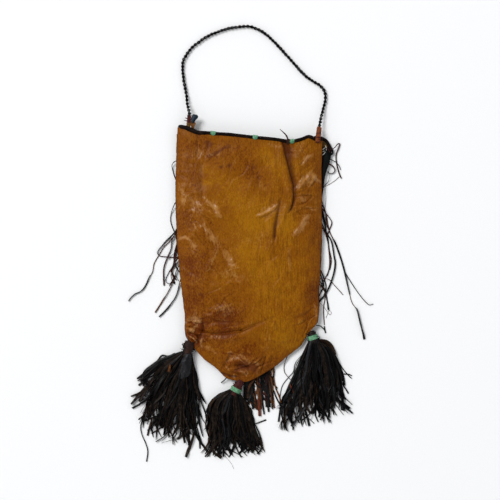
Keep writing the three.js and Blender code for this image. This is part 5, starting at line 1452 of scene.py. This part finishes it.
def skirt_strip(line, rng, name, aside, tier, reach, bend, half, hide):
    """Lays one strip: aside is its place from -1 to 1, left to right, and tier its place in the pile, 0 to 1."""
    skirt, neck = SKIRTS[name], NECKS[name]
    width, shoulder, hem = skirt.left if aside < 0 else skirt.right
    t = np.linspace(0, 1, STRIP_POINTS) * reach
    spread = 1 - (1 - np.minimum(t, 1)) ** (2 + (shoulder - 2) * min(1, abs(aside) * 1.6))
    x = aside * mix(NECK_INSIDE, width, spread) + width * bend * t ** 2
    # a slow wave, a quicker one where the strips cross, and a curl at the end
    x += rng.uniform(1, 4.2) * np.sin(rng.uniform(3, 9) * t + rng.uniform(0, 6)) * np.sqrt(t)
    crossing = rise(t, 0.06, 0.4) + rise(t, 0.7, 1.1)
    x += rng.gauss(0, 3.0) * np.sin(rng.uniform(9, 18) * t + rng.uniform(0, 6)) * crossing
    x += rng.gauss(0, 26) * np.maximum(t - 0.72 * reach, 0) ** 1.5 * 4
    fall = skirt.length * (1 - skirt.slant * aside - hem * abs(aside) ** 3)
    place = hung(skirt.hinge, skirt.lean, x, mix(SKIRT_TOP, fall, t))
    # the strip starts inside its neck, whose lean may be another, and falls from the bunch to its tier of the pile
    root = hung(neck.middle, neck.lean, aside * neck.half * 0.86, 3.0)
    place += (root - place[0]) * (np.maximum(1 - t, 0) ** 4)[:, None]
    bunch = NECK_HEIGHT + (2 * tier - 1) * math.sqrt(max(0, 1 - aside * aside)) * (neck.half - 1.6)
    pile = mix(SKIRT_HEIGHT, SKIRT_EDGE, np.sqrt(np.minimum(t, 1)))
    z = mix(bunch, tier * pile * (1 - 0.45 * aside * aside), rise(t, 0, 0.22))
    z += rng.uniform(0, 2) * np.sin(rng.uniform(5, 12) * t + rng.uniform(0, 6)) * rise(t, 0.1, 0.4)
    turn = rng.gauss(0, 0.45) + rng.uniform(-1.5, 1.5) * t
    lowest = half * (np.abs(np.sin(turn)) + 0.3 * np.abs(np.cos(turn))) + 0.5
    z = np.clip(z, lowest, SKIRT_HIGHEST)
    end = rng.choice((0.25, 0.6, 1, 1.15))
    widths = half * np.interp(np.linspace(0, 1, STRIP_POINTS), [0, 0.1, 0.9, 1], [0.7, 1, 1, end])
    run_through(line, np.column_stack([place, z]), widths, turn, hide)


uncut = laid_grid("left_tassel_uncut", np.array(UNCUT_ROWS), skirt_grey)
thicken(uncut, UNCUT_LEATHER)
take(uncut)
rounded = uncut.modifiers.new("rounded", "SUBSURF")
rounded.levels = 3
bpy.ops.object.modifier_apply(modifier=rounded.name)
skin = np.empty(len(uncut.data.vertices) * 3)
uncut.data.vertices.foreach_get("co", skin)
skin = skin.reshape(-1, 3) / MM
noise.seed_set(UNCUT_SEED)
for size, depth in UNCUT_DENTS:
    skin += depth * np.array([noise.noise_vector(Vector(p / size)) for p in skin])
uncut.data.vertices.foreach_set("co", (skin * MM).ravel())
uncut.data.update()
for name, skirt in SKIRTS.items():
    rng = random.Random(skirt.seed)
    skirt_line = strips_drawn(f"{name}_tassel_slit_skirt", SKIRT_HIDES, curled_strip)
    for lock in range(LOCKS):
        lock_aside = -1 + 2 * (lock + rng.random()) / LOCKS
        lock_tier = rng.random() ** 0.8
        lock_reach = 1.04 - 0.3 * rng.random() ** 1.5
        if lock_tier > 0.5 and rng.random() < 0.45:
            lock_reach *= rng.uniform(0.5, 0.9)
        bend = rng.gauss(0, 0.16)
        lock_hide = rng.choices(CUT_HIDES, LOCK_SHARES)[0]
        for _ in range(rng.randint(2, 4)):
            hide = lock_hide if rng.random() < 0.6 else rng.choices(CUT_HIDES, STRAY_SHARES)[0]
            aside = max(-1, min(1, lock_aside + rng.gauss(0, 0.045)))
            tier = max(0.02, min(1, lock_tier + rng.gauss(0, 0.16)))
            reach = lock_reach * (1 - 0.3 * rng.random() ** 3)
            half = rng.choices(HALF_WIDTHS, WIDTH_SHARES)[0] * rng.uniform(0.85, 1.15)
            skirt_strip(skirt_line, rng, name, aside, tier, reach, bend + rng.gauss(0, 0.04), half, hide)
    for strip in LOOSE_STRIPS[name]:
        twisted_strip(skirt_line, *strip)
    piece = made_mesh(skirt_line)
    if name == "left":
        join_to(piece, uncut)
    settle(piece, f"{name}_tassel", f"{name}_tassel_skirt", angle=40)

# The strips are all cut and drawn, so their sections go.
bpy.data.objects.remove(flat_strip)
bpy.data.objects.remove(curled_strip)
